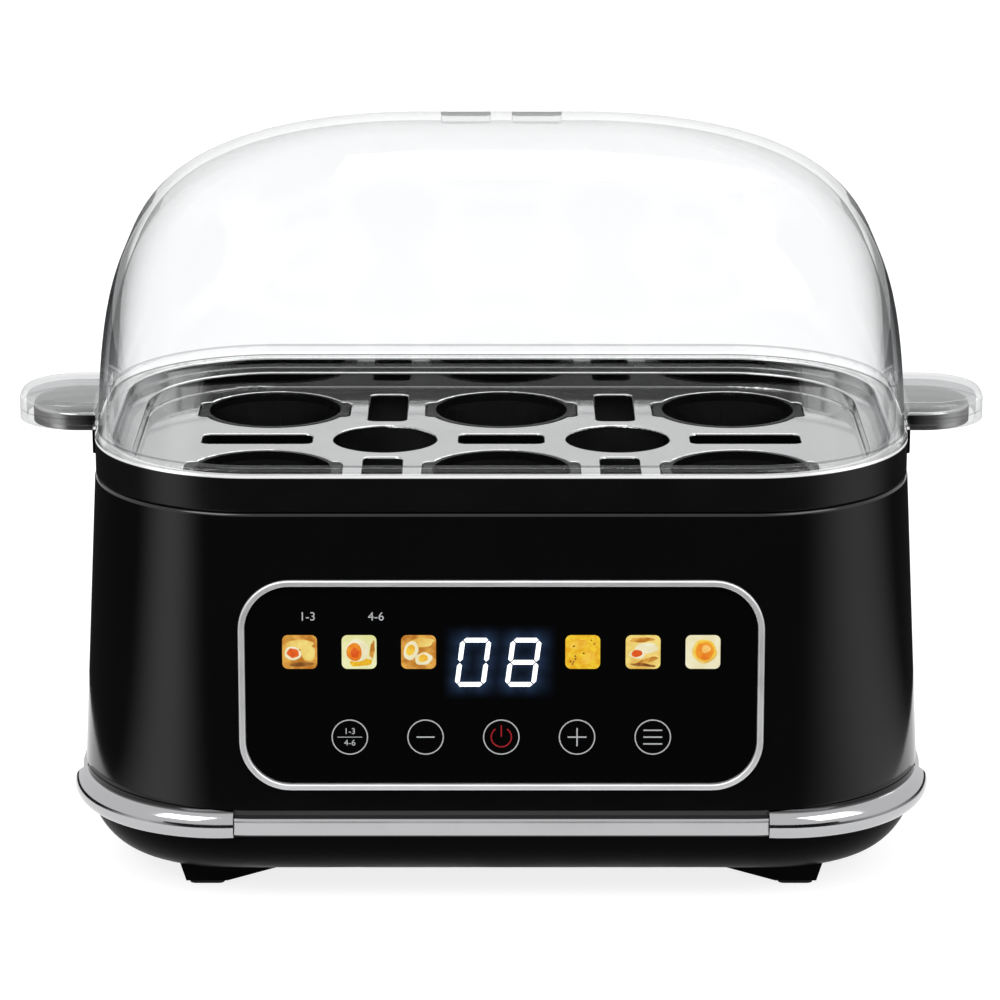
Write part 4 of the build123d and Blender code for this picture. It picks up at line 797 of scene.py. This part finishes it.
class COOKER_OT_digits(bpy.types.Operator):
    """Light the two digits of the timer, with the faint glow round them"""

    bl_idname = "cooker.digits"
    bl_label = "Digits"

    SEGMENTS = {"0": "abcdef", "8": "abcdefg"}
    PLACES = {"0": -10.75 * MM, "8": 1.6 * MM}
    GAP = 0.17 * MM
    HALO_MIDDLE = -0.3 * MM
    HALO_HALF = (14.2 * MM, 9.6 * MM)
    HALO_STEPS = (88, 62)
    HALO_FADE = 1.6 * MM
    HALO_EDGE = 2.2 * MM

    def segment(self, name, left):
        """One segment of a digit whose lower left corner is at left, as a six-cornered bar."""
        size = sizes()
        width, height, line = size.digit_width, size.digit_height, size.digit_line
        half = line / 2
        inset = half + self.GAP
        rows = {"a": height - half, "g": height / 2, "d": half}
        columns = {"b": width - half, "c": width - half, "e": half, "f": half}
        if name in rows:
            start, end = inset, width - inset
        elif name in "bf":
            start, end = height / 2 + self.GAP, height - inset
        else:
            start, end = inset, height / 2 - self.GAP
        corners = (
            (start, 0.0), (start + half, half), (end - half, half),
            (end, 0.0), (end - half, -half), (start + half, -half),
        )
        if name in rows:
            flat = [(along, rows[name] + side) for along, side in corners]
        else:
            flat = [(columns[name] + side, along) for along, side in corners]
        lean, low = math.tan(size.digit_slant), height / 2
        leaning = [(left + x + (z - low) * lean, z - low + size.digit_rise) for x, z in flat]
        return leaning, [tuple(range(6))]

    def execute(self, context):
        tint = colours()
        lit = Finish("Lit digits", (0.8, 0.8, 0.8), 0.4, specular=0.3)
        lit.set("Emission Color", tint.digits)
        lit.set("Emission Strength", tint.digit_light)
        strokes = []
        for digit, left in self.PLACES.items():
            strokes += [self.segment(name, left) for name in self.SEGMENTS[digit]]
        print_mark("timer_digits", together(strokes), lit, 2 * sizes().mark_thickness)
        put_on(self.halo(strokes), self.glow())
        return {"FINISHED"}

    def halo(self, strokes):
        """A thin plate behind the digits whose colour attribute fades away from them."""
        rise, middle = sizes().digit_rise, self.HALO_MIDDLE
        (half_x, half_z), (steps_x, steps_z) = self.HALO_HALF, self.HALO_STEPS
        points = [
            (middle + half_x * (2 * i / steps_x - 1), rise + half_z * (2 * k / steps_z - 1))
            for k in range(steps_z + 1)
            for i in range(steps_x + 1)
        ]
        row = steps_x + 1
        starts = [k * row + i for k in range(steps_z) for i in range(steps_x)]
        plate = panel_mesh("digit_halo", (points, [(a, a + 1, a + row + 1, a + row) for a in starts]))
        glow = plate.data.color_attributes.new("glow", "FLOAT_COLOR", "POINT")
        plane = panel_plane().inverted()
        marks = []
        for corners, _ in strokes:
            marks += corners
            marks.append(tuple(sum(line) / len(corners) for line in zip(*corners)))
        for vert, cell in zip(plate.data.vertices, glow.data):
            at = plane @ vert.co
            away = min(math.hypot(at.x - x, at.y - z) for x, z in marks)
            edge = min(half_x - abs(at.x - middle), half_z - abs(at.y - rise)) / self.HALO_EDGE
            level = math.exp(-away / self.HALO_FADE) * max(0.0, min(1.0, edge))
            cell.color = (level, level, level, 1.0)
        return plate

    def glow(self):
        finish = Finish("Digit glow", colours().glass, 0.07, specular=0.06)
        level = finish.add("ShaderNodeVertexColor", layer_name="glow").outputs["Color"]
        finish.set("Emission Color", finish.mixed((0.0, 0.0, 0.0), colours().halo, level))
        finish.set("Emission Strength", 1.0)
        return finish


class COOKER_OT_pictures(bpy.types.Operator):
    """Lay the six lit pictures of eggs on the panel"""

    bl_idname = "cooker.pictures"
    bl_label = "Lit pictures"

    GLOW = 0.80
    UNLIT = (0.22, 0.22, 0.22)

    # Each colour's finish name, light and dark, and the scale of its mottling
    FOODS = {
        "tan": ("Toast tan", (0.80, 0.42, 0.075), (0.50, 0.18, 0.02), 420),
        "cream": ("Egg cream", (0.90, 0.71, 0.21), (0.78, 0.46, 0.08), 300),
        "ivory": ("Egg white", (0.90, 0.86, 0.62), (0.83, 0.75, 0.46), 260),
        "pale": ("Lit white", (0.86, 0.86, 0.50), (0.78, 0.76, 0.34), 300),
        "red": ("Soft yolk", (0.86, 0.16, 0.02), (0.72, 0.09, 0.01), 500),
        "yolk": ("Egg yolk", (0.90, 0.33, 0.025), (0.80, 0.20, 0.012), 500),
        "sun": ("Hard yolk", (0.92, 0.60, 0.06), (0.84, 0.42, 0.03), 500),
        "gold": ("Yellow egg", (0.92, 0.62, 0.035), (0.80, 0.40, 0.015), 620),
        "crumb": ("Brown crumb", (0.34, 0.14, 0.03), (0.18, 0.06, 0.012), 700),
        "shine": ("Yolk shine", (0.97, 0.62, 0.18), (0.90, 0.44, 0.08), 300),
    }

    # Each picture's place along the panel in millimetres, its ground, and its spots from the lowest.
    # A spot has its colour, its place and half sizes as shares of the side, its tilt, wobble and seed.
    PICTURES = (
        (-49.5, "tan", (
            ("cream", -0.02, 0.22, 0.38, 0.15, 0.1, 0.3, 3),
            ("cream", 0.24, -0.02, 0.21, 0.24, 0.3, 0.1, 4),
            ("ivory", -0.20, -0.04, 0.24, 0.20, -0.3, 0.1, 5),
            ("red", -0.19, -0.03, 0.17, 0.14, -0.3, 0.12, 6),
            ("crumb", 0.05, -0.36, 0.36, 0.06, 0.05, 0.3, 7),
        )),
        (-34.9, "pale", (
            ("gold", 0.05, -0.30, 0.34, 0.12, 0.1, 0.2, 8),
            ("tan", 0.38, 0.06, 0.07, 0.26, -0.1, 0.2, 9),
            ("ivory", -0.05, 0.04, 0.33, 0.33, 0.2, 0.1, 10),
            ("yolk", -0.14, 0.0, 0.22, 0.27, 0.1, 0.08, 11),
            ("red", -0.12, -0.02, 0.12, 0.15, 0.1, 0.15, 12),
        )),
        (-20.3, "tan", (
            ("cream", 0.10, 0.28, 0.32, 0.14, 0.1, 0.3, 13),
            ("ivory", -0.22, 0.04, 0.20, 0.29, -0.4, 0.1, 14),
            ("ivory", 0.14, -0.20, 0.24, 0.19, 0.2, 0.1, 15),
            ("sun", -0.23, 0.06, 0.12, 0.17, -0.4, 0.1, 16),
            ("sun", 0.13, -0.18, 0.14, 0.11, 0.2, 0.1, 17),
        )),
        (20.0, "gold", (
            ("sun", -0.12, 0.22, 0.26, 0.14, 0.3, 0.4, 18),
            ("sun", 0.16, -0.16, 0.22, 0.16, 0.6, 0.4, 19),
        )),
        (34.8, "cream", (
            ("tan", -0.04, 0.36, 0.36, 0.07, 0.0, 0.3, 20),
            ("ivory", 0.10, 0.12, 0.32, 0.16, 0.1, 0.2, 21),
            ("ivory", -0.16, -0.06, 0.22, 0.14, 0.1, 0.1, 22),
            ("red", -0.18, -0.04, 0.15, 0.11, 0.1, 0.1, 23),
            ("tan", 0.14, -0.24, 0.30, 0.07, 0.25, 0.2, 24),
            ("crumb", 0.0, -0.38, 0.38, 0.045, -0.08, 0.3, 25),
        )),
        (49.5, "ivory", (
            ("cream", 0.04, 0.02, 0.36, 0.36, 0.0, 0.05, 26),
            ("sun", 0.05, 0.04, 0.31, 0.31, 0.0, 0.05, 27),
            ("yolk", 0.05, 0.03, 0.27, 0.26, 0.0, 0.06, 28),
            ("shine", 0.09, 0.09, 0.13, 0.11, 0.5, 0.2, 29),
        )),
    )
    # The picture that is strewn with crumbs, their number and seeds, their reach and half sizes as
    # shares of the side, and the wobble and corners of each
    CRUMBED = 4
    CRUMBS = 9
    CRUMB_SEED = 31
    CRUMB_SEEDS = 40
    CRUMB_REACH = 0.36
    CRUMB_HALF_WIDTHS = (0.02, 0.05)
    CRUMB_HALF_HEIGHT = 0.025
    CRUMB_WOBBLE = 0.3
    CRUMB_STEPS = 12

    def food(self, name, light, dark, scale):
        """A picture's colour, lit from behind: the same mottled colour shines and is printed."""
        finish = Finish(name, light, 0.35, specular=0.3)
        finish.vary_colour(dark, light, scale, 4.0, 0.38, 0.62)
        mottled = finish.base_colour()
        finish.set("Base Color", finish.mixed(mottled, self.UNLIT, 1.0, "MULTIPLY"))
        finish.set("Emission Color", mottled)
        finish.set("Emission Strength", self.GLOW)
        return finish

    def execute(self, context):
        size = sizes()
        side = size.picture_side
        foods = {name: self.food(*look) for name, look in self.FOODS.items()}
        for number, (along, ground, spots) in enumerate(self.PICTURES, 1):
            middle = (along * MM, size.picture_rise)
            plate = rounded_square(*middle, side, size.picture_corner)
            print_mark(f"picture_{number}", plate, foods[ground])
            layers = []
            for name, *places, tilt, wobble, seed in spots:
                shape = blob(*(place * side for place in places), tilt, wobble, seed)
                layers.append((foods[name], shape))
            if number == self.CRUMBED:
                layers.append((foods["crumb"], self.crumbs(side)))
            for level, (finish, (points, faces)) in enumerate(layers, 1):
                moved = [(middle[0] + u, middle[1] + v) for u, v in points]
                lift = level * size.mark_thickness
                print_mark(f"picture_{number}_layer_{level}", (moved, faces), finish, lift)
        return {"FINISHED"}

    def crumbs(self, side):
        chance = random.Random(self.CRUMB_SEED)
        half_height = self.CRUMB_HALF_HEIGHT * side
        found = []
        for k in range(self.CRUMBS):
            x, z = (chance.uniform(-self.CRUMB_REACH, self.CRUMB_REACH) * side for _ in range(2))
            half_width, tilt = chance.uniform(*self.CRUMB_HALF_WIDTHS) * side, chance.uniform(0, 3)
            shape = (x, z, half_width, half_height, tilt, self.CRUMB_WOBBLE)
            found.append(blob(*shape, self.CRUMB_SEEDS + k, self.CRUMB_STEPS))
        return together(found)


class COOKER_OT_studio(bpy.types.Operator):
    """Set up the pale floor, the soft lights, the reflecting cards and the camera"""

    bl_idname = "cooker.studio"
    bl_label = "Studio"

    FILL = 0.45
    FLOOR_HALF = 3.0
    FLOOR_GLOW = 0.83
    LAMPS = (
        ("key_lamp", (-0.9, -1.0, 1.5), 16.0),
        ("fill_lamp", (1.0, -0.8, 1.2), 10.0),
        ("rear_lamp", (0.2, 1.2, 1.5), 10.0),
    )
    LAMP_SIDE = 1.0
    LAMP_AIM = (0.0, 0.0, 0.08)
    CAMERA_PLACE = (0.0, -1.0142, 0.3753)
    CAMERA_TILT = math.radians(74.133)
    CAMERA_LENS = 146.29
    CAMERA_SHIFT = -0.0013

    # Level of the dark cards, and the front card's half angle in degrees, top and distance
    DARK = 0.02
    FRONT_CARD = (46, 0.24, 1.61)
    FRONT_CARD_STEPS = 16
    # Half length, half depth and corner radius of the body's foot, and the ring's reaches from it
    FOOTPRINT = (0.107, 0.068, 0.046)
    RING_REACHES = (0.07, 0.1, 0.3, 1.5)
    RING_TURNS = 180
    RING_HEIGHT = 0.002
    # Middle, reach to either side in degrees, and level of the wedges where the ring stays light
    WEDGES = ((-59, 27, 22, 0.84), (74, 36, 40, 0.62))

    def execute(self, context):
        scene = context.scene
        scene.view_settings.view_transform = "Standard"
        self.world(scene)
        self.floor(scene)
        self.front_card(scene)
        self.floor_ring(scene)
        self.lamps(scene)
        self.camera(scene)
        return {"FINISHED"}

    def world(self, scene):
        scene.world = bpy.data.worlds.new("Studio")
        nodes = Nodes(scene.world)
        fill, full = (
            nodes.add("ShaderNodeBackground", {"Color": WHITE, "Strength": strength}).outputs[0]
            for strength in (self.FILL, 1.0)
        )
        pick = nodes.add("ShaderNodeMixShader", {"Fac": nodes.seen(), 1: fill, 2: full})
        nodes.add("ShaderNodeOutputWorld", {"Surface": pick.outputs[0]})

    def stage(self, scene, name, points, faces, material, only_reflected=False):
        """Shows a mesh of the studio, to every ray or only to reflections."""
        mesh = bpy.data.meshes.new(name)
        mesh.from_pydata(points, [], faces)
        mesh.materials.append(material)
        piece = bpy.data.objects.new(name, mesh)
        if only_reflected:
            for kind in ("camera", "diffuse", "transmission", "shadow"):
                setattr(piece, f"visible_{kind}", False)
        scene.collection.objects.link(piece)
        return piece

    def floor(self, scene):
        tint = colours().floor
        finish = Finish("Pale floor", tint, 0.9, specular=0.1)
        finish.vary_colour(tuple(c * 0.985 for c in tint), tint, 4)
        strength = finish.product(finish.seen(), self.FLOOR_GLOW)
        glow = finish.add("ShaderNodeEmission", {"Color": WHITE, "Strength": strength})
        both = finish.add("ShaderNodeAddShader", {0: finish.shader.outputs["BSDF"], 1: glow.outputs[0]})
        finish.feed(both.outputs[0], finish.output.inputs["Surface"])
        half = self.FLOOR_HALF
        corners = [(-half, -half, 0), (half, -half, 0), (half, half, 0), (-half, half, 0)]
        self.stage(scene, "floor", corners, [(0, 1, 2, 3)], finish.material)

    def card(self, scene, name, points, faces, levels):
        """A card that only reflections see, with a level of grey at each point."""
        material = bpy.data.materials.new(name)
        nodes = Nodes(material)
        read = nodes.add("ShaderNodeVertexColor", layer_name="shade")
        glow = nodes.add("ShaderNodeEmission", {"Color": read.outputs["Color"], "Strength": 1.0})
        nodes.add("ShaderNodeOutputMaterial", {"Surface": glow.outputs[0]})
        card = self.stage(scene, name, points, faces, material, only_reflected=True)
        shade = card.data.color_attributes.new("shade", "FLOAT_COLOR", "POINT")
        for cell, level in zip(shade.data, levels):
            cell.color = (level, level, level, 1.0)

    def front_card(self, scene):
        """A dark curved card in front of the panel."""
        spread, top, distance = self.FRONT_CARD
        steps = self.FRONT_CARD_STEPS
        points = []
        for z in (0.0, top):
            for i in range(steps + 1):
                a = math.radians(-spread + 2 * spread * i / steps)
                points.append((distance * math.sin(a), -distance * math.cos(a), z))
        faces = [(i, i + 1, steps + 2 + i, steps + 1 + i) for i in range(steps)]
        self.card(scene, "dark_card_low", points, faces, [self.DARK] * len(points))

    def open_share(self, azimuth):
        """How light the ring is at an azimuth: a narrow wedge on the left, a wide one on the right."""
        total = 0.0
        for middle, before, after, most in self.WEDGES:
            away = azimuth - middle
            reach = after if away > 0 else before
            if abs(away) < reach:
                total += most * math.cos(math.pi / 2 * away / reach) ** 2
        return total

    def footprint_point(self, azimuth, reach):
        """The point at an azimuth on the body's rounded footprint, grown by reach."""
        a = math.radians(azimuth)
        u, v = math.sin(a), -math.cos(a)
        half_x, half_y, corner = self.FOOTPRINT
        inner_x, inner_y, radius = half_x - corner, half_y - corner, corner + reach
        distance = min((half_x + reach) / max(abs(u), 1e-6), (half_y + reach) / max(abs(v), 1e-6))
        if distance * abs(u) > inner_x and distance * abs(v) > inner_y:
            along = inner_x * abs(u) + inner_y * abs(v)
            distance = along + math.sqrt(along**2 - inner_x**2 - inner_y**2 + radius**2)
        return distance * u, distance * v, self.RING_HEIGHT

    def floor_ring(self, scene):
        """A dark ring over the floor that only reflections see, left light in the wedges."""
        turns = self.RING_TURNS
        points, levels = [], []
        for reach in self.RING_REACHES:
            for i in range(turns):
                azimuth = -180 + 360 * i / turns
                points.append(self.footprint_point(azimuth, reach))
                levels.append(self.DARK + (1.0 - self.DARK) * self.open_share(azimuth))
        faces = []
        for k in range(len(self.RING_REACHES) - 1):
            for i in range(turns):
                j = (i + 1) % turns
                faces.append((k * turns + i, k * turns + j, (k + 1) * turns + j, (k + 1) * turns + i))
        self.card(scene, "floor_ring", points, faces, levels)

    def lamps(self, scene):
        for name, place, power in self.LAMPS:
            light = bpy.data.lights.new(name, "AREA")
            light.shape = "SQUARE"
            light.size = self.LAMP_SIDE
            light.energy = power
            lamp = bpy.data.objects.new(name, light)
            lamp.location = place
            aim = Vector(self.LAMP_AIM) - Vector(place)
            lamp.rotation_euler = aim.to_track_quat("-Z", "Y").to_euler()
            scene.collection.objects.link(lamp)

    def camera(self, scene):
        lens = bpy.data.cameras.new("photo_camera")
        lens.sensor_width = 36.0
        lens.lens = self.CAMERA_LENS
        lens.shift_x = self.CAMERA_SHIFT
        lens.clip_end = 20.0
        camera = bpy.data.objects.new("photo_camera", lens)
        camera.location = self.CAMERA_PLACE
        camera.rotation_euler = (self.CAMERA_TILT, 0.0, 0.0)
        scene.collection.objects.link(camera)
        scene.camera = camera


class COOKER_PT_panel(bpy.types.Panel):
    """Lists the egg cooker's operators, sizes and colours"""

    bl_idname = "COOKER_PT_panel"
    bl_label = "Egg Cooker"
    bl_space_type = "VIEW_3D"
    bl_region_type = "UI"
    bl_category = "Egg Cooker"

    def draw(self, context):
        for operator in OPERATORS:
            self.layout.operator(operator.bl_idname)
        for group in (context.scene.cooker_sizes, context.scene.cooker_colours):
            box = self.layout.box()
            for name in group.__annotations__:
                box.prop(group, name)


OPERATORS = (
    COOKER_OT_finish_nodes,
    COOKER_OT_key_marks,
    COOKER_OT_numerals,
    COOKER_OT_digits,
    COOKER_OT_pictures,
    COOKER_OT_studio,
)
CLASSES = (CookerSizes, CookerColours, *OPERATORS, COOKER_PT_panel)


def register():
    for cls in CLASSES:
        bpy.utils.register_class(cls)
    bpy.types.Scene.cooker_sizes = PointerProperty(type=CookerSizes)
    bpy.types.Scene.cooker_colours = PointerProperty(type=CookerColours)


def unregister():
    del bpy.types.Scene.cooker_colours
    del bpy.types.Scene.cooker_sizes
    for cls in reversed(CLASSES):
        bpy.utils.unregister_class(cls)


def main():
    register()
    for operator in OPERATORS:
        group, name = operator.bl_idname.split(".")
        getattr(getattr(bpy.ops, group), name)()


if __name__ == "__main__":
    main()
